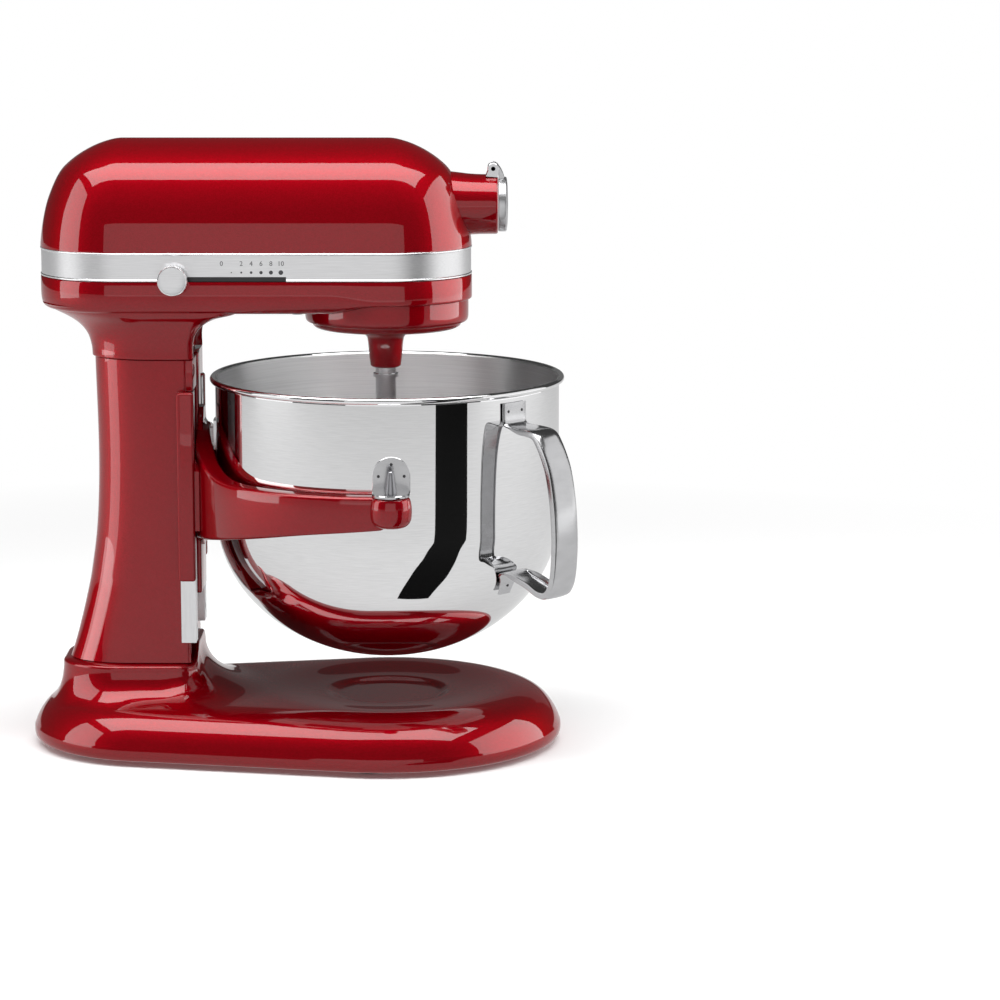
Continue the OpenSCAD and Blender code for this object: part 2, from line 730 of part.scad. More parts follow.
module fan() {
  on_axis() color(dark) translate([can_x + can_l - 20, 0, motor_z]) difference() {
    union() {
      rod_x(0, 2, armature_r);
      rod_x(0, 10, 9);
      for (i = [0 : 8]) rotate([40 * i, 0, 0]) translate([0, -1, 6]) cube([9, 2, armature_r - 7]);
    }
    rod_x(-1, 12, motor_shaft_r);
  }
}

// ---- Speed control -------------------------------------------------------------------------

module speed_knob() {
  on_axis() color(satin) translate([knob_x, 0, slot_z]) rotate([90, 0, 0]) {
    rod(head_r + 3.6, 6.4, knob_r);
    translate([0, 0, head_r + 10]) cylinder(h = 1, r1 = knob_r, r2 = knob_r - 1);
    rod(head_r + 0.6, 3, 4);
  }
}
module speed_slider() {
  on_axis() color(dark) translate([knob_x, 0, slot_z]) {
    translate([-5, -head_r + wall + 1.3, -4]) cube([10, head_r - wall - 1.3 - board_y - gap, 8]);
    rotate([90, 0, 0]) rod(board_y + 2, head_r + 0.6 - board_y - 2, 1.4);
  }
}

// ---- Hub cover and knob --------------------------------------------------------------------

module hub_cover() {
  on_axis() color(steel) difference() {
    union() {
      translate([0, 0, hub_z]) { rod_x(cover_x, cover_t, cover_r); rod_x(cover_x + cover_t, 1.6, cover_r - 2); }
      translate([cover_x, -4, hub_z + cover_r - 6]) cube([cover_t, 8, hinge_z - hub_z - cover_r + 6]);
      translate([hinge_x, 0, hinge_z]) rod_y(-lug_y + gap, 2 * lug_y - 2 * gap, hinge_r);
      translate([hinge_x, -4, hinge_z]) cube([cover_x + cover_t - hinge_x, 8, hinge_r]);
    }
    translate([hinge_x, 0, hinge_z]) rod_y(-lug_y, 2 * lug_y, hinge_pin_r + run);
  }
}
module hub_knob() {
  on_axis() color(dark) translate([hub_reach - 12, 0, hub_z]) {
    rod_y(hub_bore_r + 0.4, hub_r - hub_bore_r + 4, 3);
    difference() {
      rod_y(hub_r + 1.5, 13, 11);
      for (i = [0 : 7]) rotate([0, 45 * i, 0]) translate([13, 0, 0]) rod_y(hub_r, 16, 3.4);
    }
  }
}

// ---- Yoke ----------------------------------------------------------------------------------

module yoke() {
  on_axis() color(red) difference() {
    union() {
      translate([plate_back, -bar_out, yoke_z[0]]) cube([yoke_t, 2 * bar_out, bar_z[1] + 6 - yoke_z[0]]);
      translate([plate_back, 4 - column_hw + 5, yoke_z[0]]) cube([yoke_t, column_w - 18, yoke_z[1] - yoke_z[0]]);
      both_sides() translate([plate_back - 11, bar_in, bar_z[0]]) cube([11.5, bar_out - bar_in, bar_z[1] - bar_z[0]]);
      intersection() {
        difference() { rod(pad_z - 60, 60, arm_in + arm_t); rod(pad_z - 61, 62, arm_in); }
        side(2 * arm_in, [
          [plate_back + 1, pad_z], [pad_x, pad_z], [pad_x, pad_z - arm_h],
          [plate_x / 2, pad_z - arm_h - 4], [plate_back + 1, pad_z - 40]]);
        translate([plate_back, -200, 0]) cube([pad_x - plate_back, 400, 300]);
      }
      both_sides() translate([pad_x, pad_y, 0]) rod(pad_z - arm_h, arm_h, pad_r);
    }
    both_sides() translate([pad_x, pad_y, 0]) rod(pad_z - 14, 15, pin_r);
  }
}
module locating_pins() {
  on_axis() color(zinc) both_sides() translate([pad_x, pad_y, 0]) {
    rod(pad_z - 14, 26, pin_r);
    translate([0, 0, pad_z + 12]) cylinder(h = 5, r1 = pin_r, r2 = pin_r - 1.5);
  }
}
module bowl_clip() {
  on_axis() color(steel) {
    translate([plate_x, -9, latch_z]) cube([1.2, 18, 17]);
    both_sides() translate([plate_x + 1.2, 5, latch_z]) cube([4.2, 1.6, 17]);
  }
}
// Plate on the back of the yoke; the crank's pin works in its slot
module lift_bracket() {
  pin_z = lift_z - lift_travel / 2;
  back = lift_x - crank_l - 8;
  on_axis() color(zinc) difference() {
    translate([back, -3.5, pin_z - 9]) cube([plate_back - back, 7, 18]);
    translate([lift_x - crank_l - 4, -5, pin_z - crank_pin_r - crank_slack])
      cube([crank_l + 9, 10, 2 * (crank_pin_r + crank_slack)]);
  }
}

// ---- Lift lever ----------------------------------------------------------------------------

module lift_bush() {
  on_axis() color(bronze) translate([lift_x, 0, lift_z]) difference() {
    rod_y(crank_y + crank_t + 1, column_hw - crank_y - crank_t, lift_shaft_r + bush_t);
    rod_y(crank_y, column_hw, lift_shaft_r + run);
  }
}
module lever_shaft() {
  on_axis() color(steel) translate([lift_x, 0, lift_z]) rod_y(crank_y, lever_y + 8 - crank_y, lift_shaft_r);
}
module lift_crank() {
  on_axis() color(zinc) translate([lift_x, 0, lift_z]) rotate([0, -crank_a, 0]) {
    difference() {
      union() {
        rod_y(crank_y, crank_t, lift_shaft_r + 3);
        translate([0, crank_y, -5]) cube([crank_l, crank_t, 10]);
        translate([crank_l, 0, 0]) rod_y(crank_y, crank_t, 5);
      }
      rod_y(crank_y - 1, crank_t + 2, lift_shaft_r);
    }
    translate([crank_l, 0, 0]) rod_y(-5, crank_y + 5.5, crank_pin_r);
  }
}
module lever_arm() {
  on_axis() color(steel) translate([lift_x, 0, lift_z]) rotate([0, -lever_a, 0]) difference() {
    union() {
      rod_y(lever_y, 7, lift_shaft_r + 4);
      translate([0, lever_y, -4.5]) cube([lever_l - 26, 5, 9]);
    }
    rod_y(lever_y - 1, 10, lift_shaft_r);
  }
}
module lever_grip() {
  on_axis() color(dark) translate([lift_x, lever_y + 2.5, lift_z]) rotate([0, -lever_a, 0]) {
    rod_x(lever_l - 26, 22, 6.5);
    translate([lever_l - 4, 0, 0]) rotate([0, 90, 0]) cylinder(h = 4, r1 = 6.5, r2 = 4);
  }
}

// ---- Bowl ----------------------------------------------------------------------------------

// Half section of the bowl, set in by t
function bowl_curve(t, n = 14) = [for (i = [0 : n]) let (a = 90 * i / n)
  [(bowl_r - t) * sin(a), round_z - (bowl_round_h - t) * cos(a)]];
function reversed(list) = [for (i = [len(list) - 1 : -1 : 0]) list[i]];
module bowl() {
  outer = concat(bowl_curve(0), [[bowl_r, bowl_top - 3.6], [rim_r - 0.6, bowl_top - 3.6],
    [rim_r, bowl_top - 2.4], [rim_r, bowl_top - 1.2], [rim_r - 1.2, bowl_top]]);
  inner = concat(bowl_curve(bowl_wall), [[bowl_r - bowl_wall, bowl_top - 1.2], [bowl_r, bowl_top]]);
  on_axis() color(steel) rotate_extrude($fn = 96) polygon(concat(outer, reversed(inner)));
}
// Short plate on the bowl's wall, from height z0 to z1 and a degrees to each side
module wall_plate(z0, z1, a, t) {
  rotate([0, 0, -a]) rotate_extrude(angle = 2 * a) translate([bowl_r, z0]) square([t, z1 - z0]);
}
module bowl_handle() {
  top = bowl_top - 26;
  low = bowl_top - 132;
  low_r = bowl_radius(low + 2);
  path = [[bowl_r + 0.05, top + 3], [handle_reach - 27, top + 3], [handle_reach - 19, top - 1],
          [handle_reach - 15, top - 14], [handle_reach - 1, top - 62], [handle_reach, low + 28],
          [handle_reach - 4, low + 13], [handle_reach - 14, low + 5], [low_r + 14, low - 2], [low_r + 0.9, low + 2]];
  n = len(path);
  // Outward normal at each corner of the path
  normal = [for (i = [0 : n - 1]) let (d = path[min(i + 1, n - 1)] - path[max(i - 1, 0)]) [-d[1], d[0]] / norm(d)];
  strip = concat([for (i = [0 : n - 1]) path[i] + normal[i] * strap_t], reversed(path));
  on_axis() color(steel) rotate([0, 0, strap_az]) {
    rotate([90, 0, 0]) translate([0, 0, -strap_w / 2]) linear_extrude(strap_w) polygon(strip);
    wall_plate(top + 3 + strap_t - 0.5, top + 20, strap_w * 0.3, 1.5);
    rotate([0, 0, -strap_w * 0.25]) rotate_extrude(angle = strap_w * 0.5) polygon(concat(
      [for (z = [low - 12 : 4 : low + 4]) [bowl_radius(z) + 0.15, z]],
      [for (z = [low + 4 : -4 : low - 12]) [bowl_radius(z) + 1.8, z]]));
  }
}
module bowl_ears() {
  on_axis() color(steel) both_sides() {
    rotate([0, 0, acos(pad_x / bowl_r)]) wall_plate(pad_z + 0.5, pad_z + 24, 6.3, 1.5);
    difference() {
      translate([pad_x, 0, pad_z]) linear_extrude(2) {
        translate([-pad_r, bowl_r - 4]) square([2 * pad_r, pad_y - bowl_r + 4]);
        translate([0, pad_y]) circle(r = pad_r);
      }
      rod(pad_z - 1, 4, bowl_r);
      translate([pad_x, pad_y, 0]) rod(pad_z - 1, 4, pin_r + loose);
    }
    translate([pad_x, pad_y, pad_z + 2]) difference() {
      cylinder(h = 15, r1 = 7.5, r2 = 5.6);
      rod(-1, 17, pin_r + loose);
    }
  }
}
module bowl_latch_pin() {
  on_axis() color(steel) rotate([0, 0, 180]) {
    wall_plate(latch_z, latch_z + 20, 5, 1.5);
    translate([bowl_r + 1.2, -3.5, latch_z + 4]) cube([4.4, 7, 10]);
  }
}

base();
feet();
column();
column_screws();
head_lower();
head_upper();
trim_band();
case_screws();
ring_gear();
motor_can();
motor_magnets();
motor_end_bell();
brush_holders();
brushes();
motor_bearings();
wheel_bracket();
bracket_screws();
centre_bearings();
hub_bush();
hub_hinge_pin();
control_board();
cord_bush();
guide_rails();
rail_screws();
lift_bush();
yoke();
locating_pins();
bowl_clip();
lift_bracket();
bowl();
bowl_handle();
bowl_ears();
bowl_latch_pin();
lever_arm();
lever_grip();
lever_shaft();
lift_crank();
planetary();
centre_shaft();
centre_gear();
crown_gear();
agitator_shaft();
planet_pinion();
cross_pin();
shaft_washer();
worm_wheel();
wheel_shaft();
wheel_pinion();
motor_shaft();
armature();
commutator();
fan();
hub_drive_shaft();
hub_gear();
speed_knob();
speed_slider();
hub_cover();
hub_knob();
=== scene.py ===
import json
import math

import bmesh
import bpy
from mathutils import Matrix, Vector

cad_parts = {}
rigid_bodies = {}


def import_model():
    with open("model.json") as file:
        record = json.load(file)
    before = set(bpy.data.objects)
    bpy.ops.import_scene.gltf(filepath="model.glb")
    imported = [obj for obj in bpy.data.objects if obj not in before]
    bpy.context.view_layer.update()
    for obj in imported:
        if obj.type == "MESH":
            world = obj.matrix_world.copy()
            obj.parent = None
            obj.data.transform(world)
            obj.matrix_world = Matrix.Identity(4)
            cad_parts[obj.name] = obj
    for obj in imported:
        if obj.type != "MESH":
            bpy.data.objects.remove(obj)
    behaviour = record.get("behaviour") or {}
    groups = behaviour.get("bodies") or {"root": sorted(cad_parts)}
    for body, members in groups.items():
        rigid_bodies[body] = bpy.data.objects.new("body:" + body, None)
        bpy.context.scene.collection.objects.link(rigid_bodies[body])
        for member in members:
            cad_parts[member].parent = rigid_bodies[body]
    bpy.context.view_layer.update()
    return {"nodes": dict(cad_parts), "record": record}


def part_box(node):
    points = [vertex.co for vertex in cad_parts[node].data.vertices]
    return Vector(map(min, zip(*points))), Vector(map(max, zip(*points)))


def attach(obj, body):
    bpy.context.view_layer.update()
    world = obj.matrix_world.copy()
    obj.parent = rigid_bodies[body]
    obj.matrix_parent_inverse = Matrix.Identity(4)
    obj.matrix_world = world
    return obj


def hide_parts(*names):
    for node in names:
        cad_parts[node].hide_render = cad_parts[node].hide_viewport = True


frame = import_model()

# ---- Sizes, in millimetres. The frame gives those that the CAD sets. place() turns them into metres. ----

MM = 0.001


def span(node):
    """Lowest and highest corner of a CAD node, in millimetres."""
    low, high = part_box(node)
    return low / MM, high / MM


def middle(node):
    """Middle of a CAD node's box, with x counted from the bowl's axis."""
    x, y, z = ((a + b) / 2 for a, b in zip(*span(node)))
    return x - axis_x, y, z


bowl_low, bowl_high = span("bowl")
axis_x = (bowl_low.x + bowl_high.x) / 2
rim_w = 3.6
bowl_r = (bowl_high.x - bowl_low.x) / 2 - rim_w
bowl_bottom, bowl_top = bowl_low.z, bowl_high.z
round_z = bowl_bottom + 98
sheet = 1.2

band_low, band_high = span("trim_band")
head_r = band_high.y
head_back = band_low.x - axis_x + head_r
head_front = band_high.x - axis_x - head_r
band_z, upper_z = band_low.z, band_high.z
head_top = span("head_upper")[1].z
column_low, column_high = span("column")
seam_z, neck_z = column_low.z, column_high.z
head_z = neck_z + 28
column_hw = column_high.y
column_front = column_high.x - axis_x
column_back = column_front - 70
column_corner = (44, 30)
base_low, base_high = span("base")
base_front_r = base_high.y
base_rear_r = 89
base_rear = base_low.x - axis_x + base_rear_r
rim_z = 3.6
wall = 4
yoke_low, yoke_high = span("yoke")
plate_back = span("guide_rails")[1].x - axis_x + 0.3
plate_x = plate_back + 4
yoke_bottom, yoke_top = yoke_low.z, yoke_high.z
pad_z = span("bowl_ears")[0].z
pad_x, pad_r = 6, 12.15
pad_y = yoke_high.y - pad_r - 0.05
disc_low, disc_high = span("planetary")
disc_r = disc_high.y
boss_z = disc_low.z
disc_z = boss_z + 27
skirt_r = span("ring_gear")[1].y + wall
skirt_z = head_z - 6
under_z = head_z + 4.2
shaft_y = middle("agitator_shaft")[1]
hub_z = span("hub_drive_shaft")[0].z + 8
hub_front = span("hub_cover")[1].x - axis_x - 5.6
hinge_x, _, hinge_z = middle("hub_hinge_pin")
hub_reach = hinge_x + 3.2
knob_low, knob_high = span("speed_knob")
knob_x, _, knob_z = middle("speed_knob")
knob_r = (knob_high.z - knob_low.z) / 2
slot_half = 1.7
slot_end = knob_x + 75.5
strap_az = math.radians(-43)
strap_hw = 11.2
lever_x, _, lever_z = middle("lever_shaft")


def place(x, y, z):
    """A point given from the bowl axis and the table, in millimetres."""
    return Vector(((axis_x + x) * MM, y * MM, z * MM))


# ---- Curves ----


def curve(points, steps=8, ends=None):
    """Smooth line through a few points of any dimension, a Catmull-Rom spline."""
    pts = [Vector(p) for p in points]
    before, after = ends or (2 * pts[0] - pts[1], 2 * pts[-1] - pts[-2])
    pts = [Vector(before), *pts, Vector(after)]
    line = []
    for i in range(1, len(pts) - 2):
        a, b, c, d = pts[i - 1 : i + 3]
        for k in range(steps):
            t = k / steps
            line.append(
                0.5 * (2 * b + (c - a) * t + (2 * a - 5 * b + 4 * c - d) * t * t
                       + (3 * b - 3 * c + d - a) * t * t * t)
            )
    line.append(pts[-2])
    return line


def at(points, x):
    """Value at x of the smooth function through points (x, value)."""
    if x <= points[0][0]:
        return points[0][1]
    if x >= points[-1][0]:
        return points[-1][1]
    i = next(k for k in range(len(points) - 1) if points[k + 1][0] >= x)
    (x0, y0), (x1, y1) = points[i], points[i + 1]
    step = x1 - x0

    def slope(k):
        k0, k1 = max(k - 1, 0), min(k + 1, len(points) - 1)
        return (points[k1][1] - points[k0][1]) / (points[k1][0] - points[k0][0])

    t = (x - x0) / step
    m0, m1 = slope(i) * step, slope(i + 1) * step
    return ((2 * t**3 - 3 * t * t + 1) * y0 + (t**3 - 2 * t * t + t) * m0
            + (3 * t * t - 2 * t**3) * y1 + (t**3 - t * t) * m1)


def smooth(t):
    t = min(1.0, max(0.0, t))
    return t * t * (3 - 2 * t)


def lerp(a, b, t):
    return a + (b - a) * t


def shifted(points, x, z):
    """Points (x, z), each moved by the same amounts."""
    return [(px + x, pz + z) for px, pz in points]


def turns(count):
    """Angles of count even steps round a circle."""
    return [2 * math.pi * k / count for k in range(count)]


def linked(name, data):
    """A new object in the scene."""
    obj = bpy.data.objects.new(name, data)
    bpy.context.scene.collection.objects.link(obj)
    return obj


def pill(front_x, front_r, back_x, back_r, inset=0.0, arc_n=64, side_n=40):
    """Outline of two round ends and their tangents, drawn in by inset. Starts at +X's low side."""
    t = math.acos((back_r - front_r) / (front_x - back_x))
    ends = []
    for centre, r, start, stop in (
        (front_x, front_r - inset, -t, t),
        (back_x, back_r - inset, t, 2 * math.pi - t),
    ):
        angles = [lerp(start, stop, i / arc_n) for i in range(arc_n + 1)]
        ends.append([(centre + r * math.cos(a), r * math.sin(a)) for a in angles])
    outline = []
    for this, following in ((ends[0], ends[1]), (ends[1], ends[0])):
        outline += this
        (x0, y0), (x1, y1) = this[-1], following[0]
        outline += [(lerp(x0, x1, i / side_n), lerp(y0, y1, i / side_n)) for i in range(1, side_n)]
    return outline


def head_outline(inset):
    return pill(head_front, head_r, head_back, head_r, inset)


def block(back, front, hw, back_r, front_r, n=24, side_n=12):
    """Outline of a rectangle. back_r gives the back corners' length and breadth, front_r the front radius."""
    even = (front_r, front_r)
    corners = [(front, hw, even), (back, hw, back_r), (back, -hw, back_r), (front, -hw, even)]
    arcs = []
    for quarter, (x, y, (rx, ry)) in enumerate(corners):
        cx = x - rx if x == front else x + rx
        cy = y - math.copysign(ry, y)
        angles = [math.pi / 2 * (quarter + i / n) for i in range(n + 1)]
        arcs.append([(cx + rx * math.cos(a), cy + ry * math.sin(a)) for a in angles])
    outline = []
    for k, this in enumerate(arcs):
        (x0, y0), (x1, y1) = this[-1], arcs[(k + 1) % 4][0]
        outline += this
        outline += [(lerp(x0, x1, i / side_n), lerp(y0, y1, i / side_n)) for i in range(1, side_n)]
    return outline


# ---- Materials ----


class Shader:
    """A material and short calls to build its nodes."""

    def __init__(self, name, **values):
        self.material = bpy.data.materials.new(name)
        self.material.use_nodes = True
        self.tree = self.material.node_tree
        self.bsdf = self.tree.nodes["Principled BSDF"]
        self.point = self.node("ShaderNodeTexCoord").outputs["Object"]
        for key, value in values.items():
            self.bsdf.inputs[key.replace("_", " ")].default_value = value

    def node(self, kind, **inputs):
        made = self.tree.nodes.new(kind)
        for key, value in inputs.items():
            socket = made.inputs[key.replace("_", " ")]
            if isinstance(value, bpy.types.NodeSocket):
                self.tree.links.new(value, socket)
            else:
                socket.default_value = value
        return made

    def stretched(self, x, y, z):
        """Object coordinates with each axis scaled, for brushed and cast grain."""
        return self.node("ShaderNodeMapping", Vector=self.point, Scale=(x, y, z)).outputs["Vector"]

    def noise(self, scale, detail=3.0, vector=None, roughness=0.5):
        return self.node("ShaderNodeTexNoise", Vector=vector or self.point, Scale=scale, Detail=detail,
                         Roughness=roughness).outputs["Fac"]

    def flakes(self, scale):
        return self.node("ShaderNodeTexVoronoi", Vector=self.point, Scale=scale).outputs["Color"]

    def span(self, value, low, high):
        """Maps 0 to 1 onto low to high."""
        return self.node("ShaderNodeMapRange", Value=value, To_Min=low, To_Max=high).outputs["Result"]

    def blend(self, value, low, high, contrast=(0.35, 0.65)):
        ramp = self.node("ShaderNodeValToRGB", Fac=value)
        for element, place_at, colour in zip(ramp.color_ramp.elements, contrast, (low, high)):
            element.position = place_at
            element.color = (*colour, 1)
        return ramp.outputs["Color"]

    def join(self, kind, first, second, **inputs):
        """Adds or mixes two shaders. Both kinds of node take them on their last two sockets."""
        made = self.node(kind, **inputs)
        self.tree.links.new(first, made.inputs[-2])
        self.tree.links.new(second, made.inputs[-1])
        return made.outputs[0]

    def set(self, socket, value):
        self.tree.links.new(value, self.bsdf.inputs[socket])

    def bump(self, height, distance, strength):
        bump = self.node("ShaderNodeBump", Height=height, Distance=distance, Strength=strength)
        self.set("Normal", bump.outputs["Normal"])


def red_paint():
    """Candy enamel: a flaked metallic red under a deep clear coat."""
    s = Shader("red_enamel", Metallic=0.62, Specular_IOR_Level=0.0, Coat_Weight=1.0, Coat_Roughness=0.012,
               Coat_IOR=1.5, Specular_Tint=(1.0, 0.02, 0.05, 1))
    flakes = s.node("ShaderNodeSeparateColor", Color=s.flakes(2600.0)).outputs["Red"]
    s.set("Base Color", s.blend(flakes, (0.215, 0.0, 0.0025), (0.285, 0.0004, 0.006), (0.1, 0.9)))
    s.set("Roughness", s.span(s.noise(700.0), 0.40, 0.48))
    s.bump(flakes, 0.00002, 0.12)
    return s.material


def steel(name, colour, rough, grain, stretch, depth=0.000004):
    """Bare metal with a brushed or cast grain; stretch scales the grain along each axis."""
    s = Shader(name, Metallic=1.0)
    fine = s.noise(grain, 4.0, s.stretched(*stretch), 0.6)
    worn = s.noise(18.0, 3.0)
    dull = tuple(c * 0.86 for c in colour)
    s.set("Base Color", s.blend(fine, dull, colour, (0.25, 0.75)))
    mix = s.node("ShaderNodeMath", Value=fine)
    mix.operation = "MULTIPLY_ADD"
    mix.inputs[1].default_value = rough * 0.5
    s.tree.links.new(s.span(worn, rough * 0.7, rough * 0.95), mix.inputs[2])
    s.set("Roughness", mix.outputs[0])
    s.bump(fine, depth, 0.5)
    return s.material


def mirror_steel():
    """The outside of the bowl, buffed to a mirror over faint turning marks."""
    s = Shader("bowl_polished", Metallic=1.0)
    rings = s.noise(90.0, 4.0, s.stretched(1, 1, 26), 0.6)
    s.set("Base Color", s.blend(rings, (0.74, 0.74, 0.745), (0.80, 0.80, 0.805)))
    s.set("Roughness", s.span(s.noise(40.0), 0.012, 0.035))
    return s.material


def brushed_inside():
    """The inside of the bowl, brushed round its axis, so that highlights run up the wall."""
    s = Shader("bowl_brushed", Metallic=1.0, Anisotropic=0.92, Anisotropic_Rotation=0.25)
    s.set("Tangent", s.node("ShaderNodeTangent").outputs["Tangent"])
    rings = s.noise(60.0, 6.0, s.stretched(0.25, 0.25, 40), 0.65)
    s.set("Base Color", s.blend(rings, (0.78, 0.78, 0.785), (0.94, 0.94, 0.945), (0.3, 0.7)))
    s.set("Roughness", s.span(rings, 0.36, 0.50))
    s.bump(rings, 0.00001, 0.35)
    return s.material


def moulded(name, colour, rough, grain=900.0, depth=0.00002, coat=0.0):
    """Plastic or rubber with a fine moulded grain."""
    s = Shader(name, Coat_Weight=coat)
    fine = s.noise(grain, 2.0)
    s.set("Base Color", s.blend(s.noise(30.0), tuple(c * 0.8 for c in colour), colour))
    s.set("Roughness", s.span(fine, rough * 0.85, rough * 1.1))
    s.bump(fine, depth, 0.4)
    return s.material


def circuit_board():
    s = Shader("solder_resist", Roughness=0.35)
    tracks = s.node("ShaderNodeTexBrick", Vector=s.stretched(1, 1, 1), Scale=140.0,
                    Color1=(0.01, 0.12, 0.05, 1), Color2=(0.02, 0.16, 0.07, 1), Mortar=(0.12, 0.28, 0.1, 1))
    s.set("Base Color", tracks.outputs["Color"])
    return s.material


def printed_ink():
    s = Shader("grey_ink", Roughness=0.5)
    s.set("Base Color", s.blend(s.noise(900.0), (0.045, 0.045, 0.05), (0.06, 0.06, 0.065)))
    return s.material


PAINT = red_paint()
MIRROR = mirror_steel()
BRUSHED = brushed_inside()
SATIN = steel("satin_trim", (0.82, 0.82, 0.83), 0.36, 60.0, (1, 12, 26))
LIP = steel("polished_lip", (0.93, 0.93, 0.94), 0.22, 120.0, (1, 4, 4))
BRIGHT = steel("bright_steel", (0.70, 0.70, 0.71), 0.16, 80.0, (4, 4, 18))
RAIL = steel("rail_steel", (0.80, 0.80, 0.81), 0.30, 70.0, (6, 6, 0.6))
HARDWARE = steel("pressed_steel", (0.56, 0.56, 0.57), 0.17, 50.0, (1, 1, 3))
COVER = steel("cover_steel", (0.60, 0.60, 0.61), 0.30, 50.0, (1, 1, 3))
CHROME = steel("chrome_plate", (0.74, 0.74, 0.76), 0.07, 60.0, (6, 1, 1))
ZINC = steel("cast_zinc", (0.52, 0.53, 0.55), 0.42, 260.0, (1, 1, 1), 0.00004)
GEAR = steel("oiled_gear_steel", (0.40, 0.40, 0.42), 0.32, 140.0, (1, 1, 8))
BRONZE = steel("sintered_bronze", (0.62, 0.42, 0.20), 0.36, 400.0, (1, 1, 1), 0.00003)
WINDING = steel("copper_winding", (0.50, 0.24, 0.10), 0.40, 90.0, (0.6, 30, 30), 0.00008)
MAGNET = moulded("ferrite", (0.07, 0.07, 0.075), 0.6)
BLACK = moulded("black_moulding", (0.022, 0.022, 0.025), 0.38, coat=0.15)
RUBBER = moulded("foot_rubber", (0.02, 0.02, 0.021), 0.7, 500.0, 0.00005)
BOARD = circuit_board()
INK = printed_ink()
WELDED = [HARDWARE, BLACK]

SLOT_MATERIAL = {
    "red_paint": PAINT, "trim_metal": SATIN, "bowl_steel": MIRROR, "bright_steel": BRIGHT, "chrome": CHROME,
    "zinc": ZINC, "gear_steel": GEAR, "bronze": BRONZE, "winding": WINDING, "magnet": MAGNET,
    "black_plastic": BLACK, "board": BOARD, "rubber": RUBBER,
}
SPECIAL_NODE = {"guide_rails": RAIL, "agitator_shaft": BRIGHT}
for subpart in frame["record"]["subparts"]:
    node = frame["nodes"][subpart["node"]]
    node.data.materials.clear()
    node.data.materials.append(SPECIAL_NODE.get(subpart["node"], SLOT_MATERIAL[subpart["material_slot"]]))
    node.data.set_sharp_from_angle(angle=math.radians(32))


# ---- Mesh helpers ----


class Form:
    """Vertices and faces of one piece, gathered from several closed shapes."""

    def __init__(self):
        self.points, self.faces, self.finish = [], [], []

    def add(self, points, faces, finishes):
        start = len(self.points)
        self.points += [Vector(p) for p in points]
        self.faces += [[start + i for i in face] for face in faces]
        self.finish += finishes
        return self

    def loft(self, rings, closed=False, finish=0):
        """Skins rings of equal length. The first and last ring are capped, unless the loft is closed."""
        n, count = len(rings[0]), len(rings)
        points = [p for ring in rings for p in ring]
        faces, finishes = [], []
        for i in range(count if closed else count - 1):
            low, high = i * n, (i + 1) % count * n
            for k in range(n):
                m = (k + 1) % n
                faces.append((low + k, low + m, high + m, high + k))
                finishes.append(finish(i) if callable(finish) else finish)
        if not closed:
            faces += [tuple(reversed(range(n))), tuple(range((count - 1) * n, count * n))]
            finishes += [finishes[0], finishes[-1]]
        return self.add(points, faces, finishes)

    def turn(self, profile, centre, along="z", segments=96, closed=True, finish=0):
        """Turns a profile of (radius, height) about an axis through centre."""
        cx, cy, cz = centre
        rings = []
        for r, h in profile:
            ring = []
            for a in turns(segments):
                c, s = r * math.cos(a), r * math.sin(a)
                ring.append({"z": (cx + c, cy + s, cz + h), "x": (cx + h, cy + c, cz + s),
                             "-y": (cx + c, cy - h, cz + s), "y": (cx - c, cy + h, cz + s)}[along])
            rings.append(ring)
        return self.loft(rings, closed, finish)

    def sweep(self, path, outward, section, finish=0):
        """Carries a closed section of (across, out) along path. outward gives each point's out direction,
        and section may be a function of the share of the path gone by."""
        rings = []
        last = len(path) - 1
        for i, point in enumerate(path):
            point = Vector(point)
            ahead, behind = Vector(path[min(i + 1, last)]), Vector(path[max(i - 1, 0)])
            tangent = (ahead - behind).normalized()
            out = Vector(outward(i))
            out = (out - out.dot(tangent) * tangent).normalized()
            across = tangent.cross(out)
            shape = section(i / last) if callable(section) else section
            rings.append([point + across * w + out * h for w, h in shape])
        return self.loft(rings, False, finish)

    def slab(self, corner, opposite, radius, segments=3):
        """A block between two corners with every edge rounded."""
        lo = [min(a, b) for a, b in zip(corner, opposite)]
        hi = [max(a, b) for a, b in zip(corner, opposite)]
        bm = bmesh.new()
        bmesh.ops.create_cube(bm, size=1)
        for v in bm.verts:
            v.co = Vector([lo[k] if v.co[k] < 0 else hi[k] for k in range(3)])
        bmesh.ops.bevel(bm, geom=bm.edges[:], offset=radius, segments=segments, profile=0.5, affect="EDGES")
        bm.verts.index_update()
        faces = [[v.index for v in f.verts] for f in bm.faces]
        self.add([v.co.copy() for v in bm.verts], faces, [0] * len(faces))
        bm.free()
        return self

    def mirrored(self, first=0):
        """Adds the mirror image across the middle plane of every face from number first on."""
        faces = [list(f) for f in self.faces[first:]]
        used = sorted({i for f in faces for i in f})
        index = {old: len(self.points) + k for k, old in enumerate(used)}
        finishes = self.finish[first:]
        self.points += [Vector((self.points[i].x, -self.points[i].y, self.points[i].z)) for i in used]
        self.faces += [[index[i] for i in reversed(f)] for f in faces]
        self.finish += finishes
        return self


def clean_mesh(name, form, materials=()):
    """A mesh of the form in the scene's own frame, with doubles merged and faces turned outward."""
    mesh = bpy.data.meshes.new(name)
    mesh.from_pydata([place(*p) for p in form.points], [], form.faces)
    for material in materials:
        mesh.materials.append(material)
    mesh.polygons.foreach_set("material_index", form.finish)
    bm = bmesh.new()
    bm.from_mesh(mesh)
    bmesh.ops.remove_doubles(bm, verts=bm.verts, dist=1e-6)
    bmesh.ops.dissolve_degenerate(bm, dist=1e-7, edges=bm.edges)
    bmesh.ops.recalc_face_normals(bm, faces=bm.faces)
    bm.to_mesh(mesh)
    bm.free()
    return mesh


